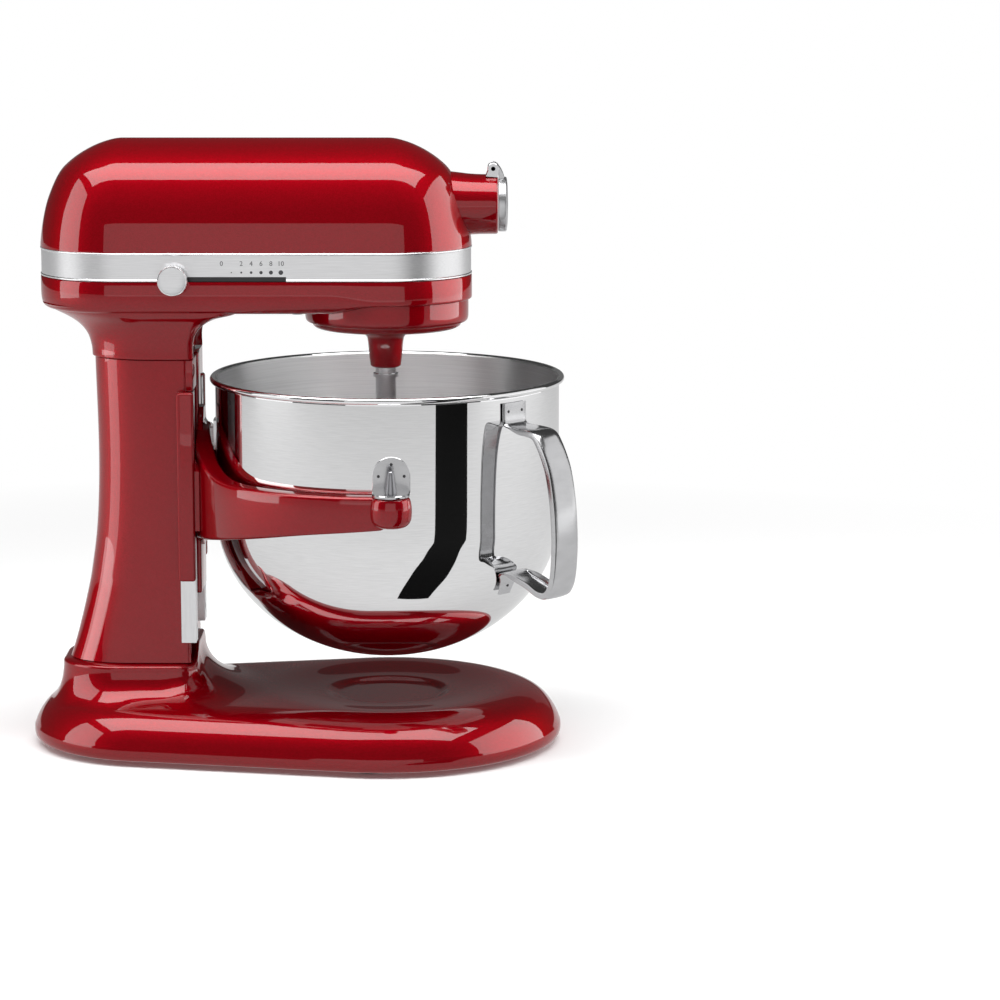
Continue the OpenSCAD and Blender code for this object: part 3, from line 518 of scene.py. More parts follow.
def shade(mesh, sharp):
    """Smooth shading, but for edges sharper than so many degrees."""
    mesh.polygons.foreach_set("use_smooth", [True] * len(mesh.polygons))
    mesh.set_sharp_from_angle(angle=math.radians(sharp))


def piece(name, form, body, materials, replaces=(), sharp=35.0):
    """Makes the form's object, which rides on a body and may replace CAD nodes."""
    mesh = clean_mesh(name, form, materials)
    shade(mesh, sharp)
    obj = linked(name, mesh)
    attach(obj, body)
    if replaces:
        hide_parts(*replaces)
    return obj


def carve(obj, cutter, sharp=35.0):
    """Cuts the closed forms in cutter out of obj."""
    tool = linked("cutter", clean_mesh("cutter", cutter))
    modifier = obj.modifiers.new("cut", "BOOLEAN")
    modifier.operation = "DIFFERENCE"
    modifier.solver = "EXACT"
    modifier.object = tool
    cut = bpy.data.meshes.new_from_object(obj.evaluated_get(bpy.context.evaluated_depsgraph_get()))
    obj.modifiers.clear()
    obj.data = cut
    shade(cut, sharp)
    bpy.data.objects.remove(tool)


def ring_at(outline, z):
    return [(x, y, z) for x, y in outline]


def head_rings(profile):
    """Rings round the head's outline for points of (inset, height)."""
    return [ring_at(head_outline(inset), z) for inset, z in profile]


def cylinder_cutter(start, end, r, along):
    """A rod to cut with, from start to end."""
    length = (Vector(end) - Vector(start)).length
    return Form().turn([(r, 0), (r, length)], start, along, 64, closed=False)


# ---- Head ----


def crown(offset):
    """Section of the upper shell, as (inset, height above the band), drawn in by offset."""
    tall = head_top - upper_z - offset
    shape = [(0, 0), (2.2, 17), (6.3, 33), (13.6, 49.0), (21.6, 57.8), (32.8, 65.4), (45.2, 70.8),
             (57.2, 73.1)]
    scale = tall / shape[-1][1]
    reach = (head_r - offset) / shape[-1][0]
    points = [(offset + inset * reach, upper_z + h * scale) for inset, h in shape]
    top = Vector(points[-1])
    over = Vector((2 * top.x - points[-2][0], points[-2][1]))
    under = Vector((2 * points[0][0] - points[1][0] + 1.4, 2 * points[0][1] - points[1][1]))
    return curve(points, 9, (under, over))


def head_upper():
    """The domed shell, with a tongue that seats inside the trim band and a hole for the hub."""
    form = Form()
    edge_z = upper_z - 1.5
    tongue = head_rings([(wall, edge_z), (1.6, edge_z), (0.7, upper_z - 0.2), (0.15, upper_z + 0.1)])
    form.loft([*reversed(head_rings(crown(wall))), *tongue, *head_rings(crown(0))[1:]])
    obj = piece("head_shell_upper", form, "housing", [PAINT], ["head_upper"])
    carve(obj, cylinder_cutter((hinge_x - 44, 0, hub_z), (hub_reach + 5, 0, hub_z), 17, "x"))
    hub_boss()
    return obj


def hub_boss():
    """The flared boss in front of the shell, bored for the attachments, and its two hinge lugs."""
    bore, bush_end = 13, 38
    flare = curve([(22.6, 38), (22.2, 45), (21.5, 51), (20.8, 57), (20.4, 64)], 6)
    edge = curve([(20.3, hub_reach - 1.2), (19.9, hub_reach - 0.35), (19.1, hub_reach)], 4)
    inside = [(bore + 0.7, hub_reach), (bore, hub_reach - 0.7), (bore, bush_end), (bore - 1, bush_end),
              (bore - 1, 29), (16.5, 29), (17.5, 40)]
    form = Form().turn([*flare, *edge, *inside], (0, 0, hub_z), "x", 128)
    piece("hub_boss", form, "housing", [PAINT])
    form = Form()
    eye_r, lug_y = 4, 7
    for y in (-lug_y, lug_y):
        lug = [(hinge_x + eye_r * math.cos(a), y, hinge_z + eye_r * math.sin(a))
               for a in [math.radians(d) for d in range(-20, 201, 10)]]
        lug += [(hinge_x - 5.4, y, hub_z + 19.3), (hinge_x + 3.2, y, hub_z + 18.6)]
        centre = Vector((hinge_x, y, hinge_z - 1.5))
        rings = []
        for offset, shrink in ((1.5, 0.5), (1.1, 0.1), (-1.1, 0.1), (-1.5, 0.5)):
            rings.append([p + (centre - p).normalized() * shrink + Vector((0, offset, 0))
                          for p in map(Vector, lug)])
        form.loft(rings)
    return piece("hub_hinge_lugs", form, "housing", [HARDWARE])


def trim_band():
    """Satin face between two polished raised lips."""
    lip, deep = 1.6, 0.55
    profile = [(1.8, band_z), (0.3, band_z), (0, band_z + 0.3), (0, band_z + lip - 0.5), (deep, band_z + lip),
               (deep, upper_z - lip), (0, upper_z - lip + 0.5), (0, upper_z - 0.3), (0.3, upper_z),
               (1.8, upper_z)]
    form = Form().loft(head_rings(profile), closed=True, finish=lambda i: 0 if i == 4 else 1)
    obj = piece("trim_band_face", form, "housing", [SATIN, LIP], ["trim_band"], 20)
    slot_top = knob_z + slot_half
    cutter = Form().slab((knob_x - 2, -head_r - 3, band_z - 1), (slot_end, -head_r + 2.4, slot_top), 0.1)
    carve(obj, cutter, 20)
    # A thin black sheet behind the slot, painted shade: it makes the slot read black instead of showing the
    # board behind it.
    slot_shade_sheet = Form().slab((knob_x - 4, -head_r + 1.85, band_z + 0.1),
                        (slot_end + 2, -head_r + 2.5, slot_top + 2), 0.1)
    piece("speed_slot_shade_sheet", slot_shade_sheet, "housing", [BLACK])
    return obj


def speed_scale():
    """Printed numbers and growing dots above the slot."""
    first, step = knob_x + 32.3, 6.62
    face_y = -head_r + 0.55 - 0.04
    marks = []
    for i, word in enumerate(("0", "", "2", "4", "6", "8", "10")):
        x = first + i * step
        if word:
            text = bpy.data.curves.new("number", "FONT")
            text.body = word
            text.size = 4.5 * MM
            text.align_x = "CENTER"
            text.extrude = 0.02 * MM
            text.resolution_u = 4
            obj = linked("number", text)
            upright = Matrix.Rotation(math.pi / 2, 4, "X")
            obj.matrix_world = Matrix.Translation(place(x, face_y, upper_z - 8.4)) @ upright
            marks.append(obj)
    form = Form()
    for i in range(1, 7):
        r = 0.42 + 0.23 * (i - 1)
        dot = [(0, 0), (r - 0.05, 0), (r, -0.04), (r, -0.3), (0, -0.3)]
        form.turn(dot, (first + i * step, face_y - 0.02, upper_z - 12.9), "-y", 24, closed=False)
    dots = piece("speed_dots", form, "housing", [INK])
    depsgraph = bpy.context.evaluated_depsgraph_get()
    joined = bmesh.new()
    for obj in marks:
        mesh = bpy.data.meshes.new_from_object(obj.evaluated_get(depsgraph))
        mesh.transform(obj.matrix_world)
        joined.from_mesh(mesh)
        bpy.data.objects.remove(obj)
    mesh = bpy.data.meshes.new("speed_numbers")
    joined.to_mesh(mesh)
    joined.free()
    mesh.materials.clear()
    mesh.materials.append(INK)
    numbers = linked("speed_numbers", mesh)
    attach(numbers, "housing")
    return dots


def head_lower():
    form = Form()
    shape = curve([(0, 1.0), (0.35, 0.55), (1.3, 0.26), (3.2, 0.1), (6.0, 0.02), (9.5, 0)], 4,
                  (Vector((0, 1.6)), Vector((14, 0))))

    def ring(inset, share):
        """Under-edge ring: share 1 is the side wall's foot, 0 the underside. The front is shallower."""
        points = []
        outer = head_outline(0)
        for k, (x, y) in enumerate(head_outline(inset)):
            front = smooth((x + 38) / 34)
            tight = lerp(1.0, 0.16, front)
            ox, oy = outer[k]
            z = lerp(under_z, under_z + 5.6, front) + 12 * share * tight
            points.append((lerp(ox, x, tight), lerp(oy, y, tight), z))
        return points

    rings = head_rings([(wall, band_z - 0.2), (1.0, band_z - 0.2), (0.35, band_z - 0.45),
                        (0.05, band_z - 1.0)])
    rings += [ring(inset, share) for inset, share in shape]
    rings += [ring(20, 0), ring(40, 0)]
    rings.append([(lerp(head_back, head_front, smooth((x - head_back) / (head_front - head_back))), 0, z)
                  for x, y, z in ring(40, 0)])
    form.loft(rings)
    top = head_z + 10.4
    skirt = curve([(skirt_r, top), (skirt_r, skirt_z + 6), (skirt_r - 0.25, skirt_z + 2.4),
                   (skirt_r - 1.1, skirt_z + 0.6), (skirt_r - 2.6, skirt_z)], 4)
    form.turn([*skirt, (disc_r + 0.6, skirt_z), (disc_r + 0.5, skirt_z + 0.6), (disc_r + 0.5, head_z + 4),
               (disc_r - 6, top)], (0, 0, 0), "z", 160)
    obj = piece("head_shell_lower", form, "housing", [PAINT], ["head_lower"])
    neck()
    return obj


def neck():
    """Flares from the column's outline, with a small lip, into the underside of the head."""
    back = shifted([(0, -1.6), (7, -2.4), (15, -5.4), (22, -11.5), (28, -20.5), (33, -30), (37, -36)],
                   neck_z, 0)
    side = shifted([(0, 0.9), (8, 1.3), (17, 2.8), (25, 6.2), (31, 10.6), (37, 13.2)], neck_z, 0)
    front = shifted([(0, 4.3), (11, 4.3), (18, 6.6), (24, 12.5), (28, 21), (31, 33), (37, 40)], neck_z, 0)
    length, breadth = column_corner
    rings = []
    count = 44
    for i in range(count + 1):
        z = neck_z + 36.5 * i / count
        grow = smooth((z - neck_z) / 36)
        outline = block(column_back + slim(neck_z) + at(back, z), column_front + at(front, z),
                        column_hw + at(side, z), (length + 10 * grow, breadth + 16 * grow),
                        5 + 9 * smooth((z - neck_z - 15) / 18))
        rings.append(ring_at(outline, z))
    inset = [(x * 0.99 + column_front * 0.01, y * 0.985, neck_z + 0.02) for x, y, z in rings[0]]
    for k, (x, y, z) in enumerate(rings[0]):
        rings[0][k] = (x, y, z + 0.5)
    form = Form().loft([inset, *rings])
    obj = piece("head_neck", form, "housing", [PAINT])
    cutter = Form().slab((column_front - 0.2, -37, neck_z - 2), (column_front + 18, 37, under_z - 0.5), 0.4)
    carve(obj, cutter)
    return obj


def planetary():
    """A grooved disc, with the off-centre boss that carries the agitator's shaft."""
    form = Form()
    rim = shifted([(0, 7), (-0.1, 4.2), (-1.5, 1.8), (-5, 0.6), (-14, 0.05)], disc_r, disc_z)
    side = curve([*rim, (26, disc_z)], 5)
    groove = shifted([(0, 14), (0, 8.4), (-0.5, 8.1), (-0.5, 7.5)], disc_r, disc_z)
    plate = [(0, disc_z + 14), *groove, *side, (12, disc_z), (0, disc_z)]
    form.turn(plate, (0, 0, 0), "z", 160, closed=False)
    nose_z = boss_z + 4
    root = shifted([(17, 1.5), (15.0, -0.2), (12.9, -2.2), (12.1, -5), (11.3, -14)], 0, disc_z)
    nose = shifted([(10.6, 3), (10.2, 1), (8.8, 0)], 0, nose_z)
    mouth = shifted([(7.2, 0), (7.0, 0.6), (0, 0.6)], 0, nose_z)
    boss = [(0, disc_z + 1.5), *curve([*root, *nose], 5), *mouth]
    form.turn(boss, (0, shaft_y, 0), "z", 96, closed=False)
    return piece("planetary_housing", form, "planetary_head", [PAINT], ["planetary"])


# ---- Speed knob and hub cover ----


def speed_knob():
    """Turned knob: dished bright face, polished rim, short neck into the slot."""
    face = -knob_low.y
    back = face - 7.4
    rim = shifted([(-0.35, -0.12), (-0.05, -0.55), (0, -1.1), (0, -2.2), (-0.45, -2.5), (-0.45, -3.0),
                   (0, -3.3)], knob_r, face)
    rear = shifted([(0, 1.0), (-0.5, 0.3), (-1.4, 0)], knob_r, back)
    dished = [(knob_r * share, face - deep)
              for share, deep in ((0, 0.5), (0.5, 0.42), (0.86, 0.2), (0.92, 0))]
    profile = [*dished, *rim, *rear, (4, back), (4, back - 3), (0, back - 3)]
    form = Form().turn(profile, (knob_x, 0, knob_z), "-y", 96, closed=False, finish=lambda i: int(i < 3))
    return piece("speed_knob_turned", form, "speed_control", [LIP, SATIN], ["speed_knob"], 28)


def hub_cover():
    """Brushed disc with a curled hinge arm over the pin."""
    back = hub_front - 1.0
    radius = 18.6
    rim = curve([(radius - 0.6, back), (radius - 0.1, back + 0.4), (radius, back + 1.2)], 4)
    rim += curve([(radius, back + 4.6), (radius - 0.25, back + 5.3), (radius - 1.1, back + 5.7)], 4)
    face = curve([(radius - 2.6, back + 5.9), (radius - 7, back + 6.3), (0, back + 6.6)], 5)
    form = Form().turn([(0, back), *rim, *face], (0, 0, hub_z), "x", 128, closed=False)
    curl = shifted([(3.4, 2.2), (0.6, 4.0), (-2.9, 2.8), (-4.0, -0.4), (-3.1, -3.2), (0.4, -3.9),
                    (2.6, -3.4)], hinge_x, hinge_z)
    arm = curve([(back + 4.3, hub_z + 13), (back + 4.2, hub_z + 17.5), (back + 2.6, hinge_z - 2.0), *curl,
                 (back + 0.1, hinge_z - 5.0), (back + 0.3, hub_z + 13)], 5)
    outline = arm[:-1]
    centre = sum((Vector(p) for p in outline), Vector((0, 0))) / len(outline)
    rings = []
    for y, shrink in ((-5.0, 0.6), (-4.6, 0.12), (-3.0, 0.0), (3.0, 0.0), (4.6, 0.12), (5.0, 0.6)):
        rings.append([(p.x + (centre.x - p.x) * shrink * 0.12, y, p.y + (centre.y - p.y) * shrink * 0.12)
                      for p in outline])
    form.loft(rings)
    return piece("hub_cover_disc", form, "hub_door", [COVER], ["hub_cover"])


# ---- Column and base ----


def slim(z):
    """How far the column's back stands in from its upright line. It is below zero where the foot flares."""
    line = [(0, -15.5), (9, -12.5), (25, -8), (42, -3.8), (59, -0.2), (93, 4.4), (140, 6.4)]
    return at([*shifted(line, seam_z, 0), (neck_z, 5.2)], z)


def column():
    """The column's shell, with a pad in front of its top, the lever's hole and the crank's slot."""
    chamfer = 0.7
    upright = [(lerp(seam_z + 0.6, neck_z - 0.6, i / 60), 0) for i in range(61)]
    rings = []
    for z, end in [(seam_z + 0.05, chamfer), *upright, (neck_z - 0.05, chamfer)]:
        outline = block(column_back + slim(z) + end, column_front - end, column_hw - end, column_corner, 3)
        rings.append(ring_at(outline, z))
    form = Form().loft(rings)
    pad_hw, rail_top = 41.5, span("guide_rails")[1].z
    form.slab((column_front - 1, -pad_hw, rail_top + 0.6), (column_front + 3.9, pad_hw, neck_z - 0.2), 0.6, 3)
    obj = piece("column_casting", form, "housing", [PAINT], ["column"])
    carve(obj, cylinder_cutter((lever_x, column_hw - 8, lever_z), (lever_x, column_hw + 2, lever_z), 7, "y"))
    slot = Form().slab((column_front - 6, -5.5, lever_z - 22), (column_front + 2, 5.5, lever_z + 24), 0.3)
    carve(obj, slot)
    return obj


def base_distance(x, y):
    """How far a point lies inside the base's outline."""
    reach = -base_rear
    lean = (base_front_r - base_rear_r) / reach
    rise = math.sqrt(1 - lean * lean)
    px, py = abs(y), -x
    k = -lean * px + rise * py
    if k < 0:
        return base_front_r - math.hypot(px, py)
    if k > rise * reach:
        return base_rear_r - math.hypot(px, py - reach)
    return base_front_r - (px * rise + py * lean)


RIM = [(0, 12.5), (0.8, 14.5), (2.2, 18), (4.6, 22.4), (8.0, 27), (12.5, 31.3), (18, 34.4), (26, 36.8),
       (34, 37.8), (44, 38), (200, 38)]


def plate_height(x, y):
    """Top of the base: rounded rim, a broad shallow hollow and the dish under the bowl."""
    r = math.hypot(x, y)
    edge = at(RIM, base_distance(x, y))
    hollow = 3.2 * smooth((88 - r) / 46)
    dish = 2.9 * smooth((42.5 - r) / 7)
    return edge - hollow - dish


def base():
    """The cast foot: a rounded rim, the top plate and the pedestal under the column."""
    def outline(inset):
        return pill(0, base_front_r, base_rear, base_rear_r, inset, 90, 44)

    form = Form()
    under = [(12, rim_z + 0.9), (5.4, rim_z), (3.4, rim_z + 0.1), (1.7, rim_z + 1.0), (0.6, rim_z + 2.6),
             (0.1, rim_z + 4.4), (0.0, rim_z + 6)]
    rings = [ring_at(outline(inset), z) for inset, z in under]
    rim_insets = [0.15, 0.4, 0.8, 1.3, 1.9, 2.6, 3.4, 4.3, 5.3, 6.4, 7.6, 9, 10.5, 12, 13.6, 15.2,
                  17, 19, 21, 23, 25.5, 28, 31]
    for inset in rim_insets:
        rings.append([(x, y, plate_height(x, y)) for x, y in outline(inset)])
    edge = outline(rim_insets[-1])
    count = 62
    for i in range(1, count + 1):
        share = i / count
        ring = []
        for x, y in edge:
            spine = min(0.0, max(base_rear, x))
            px, py = lerp(x, spine, share), lerp(y, 0, share)
            ring.append((px, py, plate_height(px, py)))
        rings.append(ring)
    form.loft(rings)
    pedestal(form)
    return piece("base_casting", form, "housing", [PAINT], ["base"], 40)


def pedestal(form):
    """The foot of the column: a rounded shoulder, a cove and, in front, a saddle that climbs to the rails."""
    seam = block(column_back - 20.5, column_front + 4.2, column_hw + 5, (44, 34), 14, 28, 30)
    shoulder_n, cove_n = 8, 38
    round_r, lip = 3.0, 9.0
    rings = [[] for _ in range(shoulder_n + cove_n)]
    for x, y in seam:
        ahead = smooth((x - column_front + 22) / 26)
        centred = 1 - smooth((abs(y) - 20) / 24)
        top = seam_z + 0.2 + 12.5 * (ahead * centred)
        spine = min(max(x, column_back + 6), column_front - 12)
        out = (Vector((x, y)) - Vector((spine, 0))).normalized()
        behind = smooth((-x + column_back + 14) / 24)
        reach = lerp(lerp(19, 10.5, behind), 48, ahead * (0.4 + 0.6 * centred))
        reach = min(reach, max(base_distance(x, y) - 8.5, 6))
        for k in range(shoulder_n):
            a = math.pi / 2 * k / (shoulder_n - 1)
            push = -lip + lip * math.sin(a) ** 0.9 if k < shoulder_n - 1 else 0
            drop = round_r * (1 - math.cos(a))
            rings[k].append((x + out.x * push, y + out.y * push, top - drop))
        for k in range(1, cove_n + 1):
            a = math.pi / 2 * k / cove_n
            go = reach * (1 - math.cos(a))
            px, py = x + out.x * go, y + out.y * go
            ground = plate_height(px, py)
            sunk = 0.05 if k == cove_n else 0
            z = ground + (top - round_r - ground) * (1 - math.sin(a)) - sunk
            rings[shoulder_n + k - 1].append((px, py, z))
    form.loft(rings)


# ---- Yoke ----


def yoke():
    """A plate that slides on the rails, with a tongue, two side bars and an arm and pad on each side."""
    form = Form()
    bar_in, bar_out = 43.8, 51.8
    bar_low, bar_high = yoke_bottom + 14, yoke_bottom + 144
    tongue, foot = 8, 20
    form.slab((plate_back - 3.2, -tongue, pad_z), (plate_back + 0.8, tongue, yoke_top), 1.3, 4)
    form.slab((plate_back - 3.2, -foot, yoke_bottom), (plate_back + 2.0, foot, pad_z - 36), 1.3, 4)
    flank = curve([(tongue - 1, yoke_top - 38), (tongue + 4, yoke_top - 46), (tongue + 16, pad_z + 20),
                   (bar_in - 4, pad_z + 9), (bar_out - 3, pad_z + 3)], 6)
    apron = curve([(bar_out - 3, pad_z - 38), (bar_in - 8, pad_z - 42), (foot, pad_z - 50),
                   (foot - 8, pad_z - 54)], 6)
    half = [Vector((0, yoke_top - 38)), *flank, *apron, Vector((0, pad_z - 54))]
    outline = [(p.x, p.y) for p in half] + [(-p.x, p.y) for p in reversed(half[1:-1])]
    centre = sum((Vector(p) for p in outline), Vector((0, 0))) / len(outline)
    rings = []
    for x, shrink in ((plate_back, 0.5), (plate_back + 0.5, 0), (plate_x - 0.5, 0), (plate_x, 0.5)):
        ring = []
        for k, (y, z) in enumerate(outline):
            ahead, behind = Vector(outline[(k + 1) % len(outline)]), Vector(outline[k - 1])
            side = (ahead - behind).normalized()
            ring.append((x, y - shrink * -side.y, z - shrink * side.x))
        rings.append(ring)
    form.loft(rings)
    start = len(form.faces)
    form.slab((plate_back - 10.5, bar_in, bar_low), (plate_back + 0.6, bar_out, bar_high), 2.0, 4)
    lip = [(plate_back - 9.4 + 1.6 * math.cos(a), bar_out - 1.2 + 1.2 * math.sin(a))
           for a in turns(12)]
    form.loft([[(x, y, z) for x, y in lip] for z in (bar_low + 1.5, bar_high - 1.5)])
    yoke_arm(form)
    pad_start, pad_stretch = len(form.points), 1.14
    form.turn(pad_profile(), (pad_x, pad_y, 0), "z", 64, closed=False)
    for point in form.points[pad_start:]:
        point.x = pad_x + (point.x - pad_x) * pad_stretch
    form.mirrored(start)
    return piece("yoke_frame", form, "lift_yoke", [PAINT], ["yoke"])


def pad_profile():
    """Half section of the bulb at an arm's end, as (radius, height)."""
    low = pad_z - 21
    below = shifted([(0, 0), (5.5, 0.3), (9.4, 1.9), (11.6, 5.4)], 0, low)
    wide = shifted([(0, 10.5), (-0.15, 15), (-0.7, 18.6)], pad_r, low)
    side = curve([*below, *wide], 5, ((-5.5, low + 0.3), (pad_r - 1.4, low + 21)))
    return [*side, (pad_r - 1.2, pad_z - 1.0), (pad_r - 2.2, pad_z - 0.25), (pad_r - 3.4, pad_z), (0, pad_z)]


def yoke_arm(form):
    """One arm: it leaves the plate tall, sweeps round the bowl and narrows to the pad."""
    gap, thick, corner = 3.8, 13, 2.6
    mid_r = bowl_r + gap + thick / 2
    start, stop = math.pi - 0.02, math.acos((pad_x - 4) / mid_r)
    top_line = [(0, 30), (0.07, 27), (0.14, 20), (0.22, 11), (0.30, 4.4), (0.38, 1.0), (0.46, 0), (1, 0)]
    low_line = [(0, -52), (0.05, -50), (0.10, -47.5), (0.16, -45.4), (0.3, -41.6), (0.5, -35), (0.75, -27),
                (1, -22)]
    rings = []
    count = 72
    for i in range(count + 1):
        share = i / count
        a = lerp(start, stop, share)
        high, low = pad_z + at(top_line, share), pad_z + at(low_line, share)
        if share > 0.999:
            high -= 1
            low += 1
        ring = []
        flat = thick / 2 - corner
        for cw, cz, quarter in ((flat, high - corner, 0), (-flat, high - corner, 1),
                                (-flat, low + corner, 2), (flat, low + corner, 3)):
            for k in range(6):
                b = math.pi / 2 * (quarter + k / 5)
                r = mid_r + cw + corner * math.cos(b)
                x = max(r * math.cos(a), plate_back + 0.4)
                ring.append((x, r * math.sin(a), cz + corner * math.sin(b)))
        rings.append(ring)
    form.loft(rings)


def locating_pins():
    """A tapered pin on each pad."""
    form = Form()
    taper = curve(shifted([(3.9, -4), (3.9, 2.2), (3.5, 5), (2.5, 12), (1.9, 15.6), (1.1, 16.8), (0, 17)],
                          0, pad_z), 5)
    for side in (-1, 1):
        form.turn([(0, pad_z - 4), *taper], (pad_x, side * pad_y, 0), "z", 48, closed=False)
    return piece("locating_pins_turned", form, "lift_yoke", [GEAR], ["locating_pins"])


def bowl_clip():
    """Bent strip of spring steel that the pin at the back of the bowl snaps into."""
    low = span("bowl_clip")[0].z
    path = curve(shifted([(0.5, -4), (0.6, 3), (2.2, 9), (3.6, 12), (2.2, 16), (-1.0, 21)], plate_x, low), 6)
    section = [(-6, -0.4), (6, -0.4), (6, 0.4), (-6, 0.4)]
    form = Form().sweep([(p.x, 0, p.y) for p in path], lambda i: (1, 0, 0), section)
    return piece("bowl_clip_spring", form, "lift_yoke", [BRIGHT], ["bowl_clip"], 25)


# ---- Bowl ----


def bowl():
    """Spun sheet: a round bottom, straight wall and rolled rim, polished outside and brushed inside."""
    form = Form()
    deep = round_z - bowl_bottom
    quarter = [math.pi / 2 * i / 60 for i in range(61)]
    outer = [(bowl_r * math.sin(a), round_z - deep * math.cos(a)) for a in quarter]
    inner = [((bowl_r - sheet) * math.sin(a), round_z - (deep - sheet) * math.cos(a)) for a in quarter]
    roll = rim_w / 2 + 0.35
    centre = (bowl_r + rim_w - roll, bowl_top - roll)
    rim = [(centre[0] + roll * math.cos(a), centre[1] + roll * math.sin(a))
           for a in [math.radians(d) for d in range(-150, 151, 12)]]
    wall_out = [(bowl_r, lerp(round_z, centre[1] - 2.6, i / 12)) for i in range(1, 12)]
    wall_out += [(bowl_r, centre[1] - h) for h in (4.0, 3.2, 2.8)]
    wall_in = [(bowl_r - sheet, centre[1] + h) for h in (0.4, 0.0, -1.0)]
    wall_in += [(bowl_r - sheet, lerp(centre[1] + 0.4, round_z, i / 12)) for i in range(1, 13)]
    profile = outer + wall_out + rim + wall_in + list(reversed(inner))[1:]
    polished = len(outer) + len(wall_out) + len(rim) - 1
    form.turn(profile, (0, 0, 0), "z", 224, closed=False, finish=lambda i: 0 if i < polished else 1)
    return piece("bowl_spun", form, "mixing_bowl", [MIRROR, BRUSHED], ["bowl"], 50)


def spoke(r, z, across=0.0):
    """A point on the handle's plane, across it by a few millimetres."""
    c, s = math.cos(strap_az), math.sin(strap_az)
    return (r * c - across * s, r * s + across * c, z)


def bowl_handle():
    """A strap bent into a D, with a flat plate welded to the bowl at each end."""
    form = Form()
    top, low = bowl_top - 26, bowl_top - 132
    reach = 166.2
    head = [(1.0, 18), (1.0, 8), (1.8, 4), (5, 2.6), (13, 2.2)]
    grip = [(-24, 1.4), (-18.6, -0.6), (-14.6, -5.6), (-10.4, -13), (-6.2, -23), (-3.0, -37), (-0.8, -54),
            (0, -73), (-1.2, -92), (-4.2, -103), (-10, -108.6), (-18, -108.2), (-27, -104)]
    tail = [(9, 6), (1.5, 8.8), (-2.6, 8.0), (-4.4, 3), (-8.4, -7)]
    path = curve([*shifted(head, bowl_r, top), *shifted(grip, reach, top), *shifted(tail, bowl_r, low)], 8)
    points = [spoke(p.x, p.y) for p in path]

    def outward(i):
        a, b = path[max(i - 1, 0)], path[min(i + 1, len(path) - 1)]
        d = (b - a).normalized()
        return Vector(spoke(-d.y, d.x))

    def section(share):
        """Flat plate at both ends, a strap with rolled edges between."""
        curl = smooth((share - 0.13) / 0.07) * (1 - smooth((share - 0.80) / 0.08))
        hw = strap_hw - 5.2 * smooth((share - 0.90) / 0.10)
        arch = 0.5 * curl
        roll = 3.0 * curl
        face = [(hw - 0.15, -0.5 - roll), (hw, -0.2 - roll * 0.55), (hw - 0.25, 0.25), (hw - 1.1, 0.75),
                (hw * 0.5, 0.8 + arch * 0.7)]
        back = [(hw - 0.9, -0.6 - roll), (hw - 1.2, -0.5 - roll * 0.5), (hw - 2.0, -0.6),
                (hw * 0.5, -0.6 + arch * 0.7)]
        outer = [(-w, h) for w, h in face] + [(0, 0.8 + arch)] + face[::-1]
        inner = back + [(0, -0.6 + arch)] + [(-w, h) for w, h in back[::-1]]
        return outer + inner

    form.sweep(points, outward, section)
    for r, z, across in ((bowl_r + 1.8, top + 12.5, -6.5), (bowl_r + 1.8, top + 12.5, 6.5),
                         (bowl_r - 5.0, low - 1, 0)):
        rivet(form, Vector(spoke(r, z, across)), Vector(spoke(1, 0)), 1.0)
    return piece("bowl_handle_strap", form, "mixing_bowl", WELDED, ["bowl_handle"], 30)


def rivet(form, at_point, out, r):
    """A small dark spot-weld mark, standing barely proud."""
    out = out.normalized()
    side = out.cross(Vector((0, 0, 1))).normalized()
    up = side.cross(out)
    rings = []
    for radius, height in ((r, -0.5), (r, 0.12), (r * 0.7, 0.22), (0.0, 0.24)):
        rings.append([at_point + out * height + (side * math.cos(a) + up * math.sin(a)) * radius
                      for a in turns(16)])
    form.loft(rings, finish=1)


def bowl_ears():
    """A D-shaped plate on each side of the bowl, folded out into a flange that sits on the yoke's pad."""
    form = Form()
    half = 12.4
    high = pad_z + 12.2
    a0 = math.asin(pad_x / bowl_r)
    bend = [math.pi * k / 24 for k in range(25)]
    outline = [(half * math.cos(a), high + half * math.sin(a)) for a in bend]
    outline += [(-half, pad_z + 0.8), (half, pad_z + 0.8)]
    rings = []
    for out, shrink in ((0.0, 0.0), (1.2, 0.0), (1.5, 0.35)):
        ring = []
        for across, z in outline:
            w = across * (1 - shrink / half)
            ang = a0 + w / bowl_r
            r = bowl_r + 0.1 + out
            ring.append((r * math.sin(ang), -r * math.cos(ang), z - (shrink if z > high else 0)))
        rings.append(ring)
    form.loft(rings)
    flange = [(pad_x - half, -(bowl_r - 2)), (pad_x + half, -(bowl_r - 2))]
    flange += [(pad_x + half * math.cos(a), -(pad_y + (pad_r - 0.4) * math.sin(a))) for a in bend]
    rings = []
    for z, shrink in ((pad_z, 0.5), (pad_z + 0.3, 0.1), (pad_z + 1.6, 0.0), (pad_z + 2.2, 0.6)):
        rings.append([(pad_x + (x - pad_x) * (1 - shrink / half), y + shrink * 0.6 * (y < -bowl_r), z)
                      for x, y in flange])
    form.loft(rings)
    for across, z in ((-8.4, pad_z + 11.6), (8.4, pad_z + 11.6), (0, pad_z + 19.5)):
        ang = a0 + across / bowl_r
        out = Vector((math.sin(ang), -math.cos(ang), 0))
        rivet(form, out * (bowl_r + 1.5) + Vector((0, 0, z)), out, 1.0)
    form.mirrored(0)
    return piece("bowl_ear_plates", form, "mixing_bowl", WELDED, ["bowl_ears"], 30)


# ---- Lift lever ----


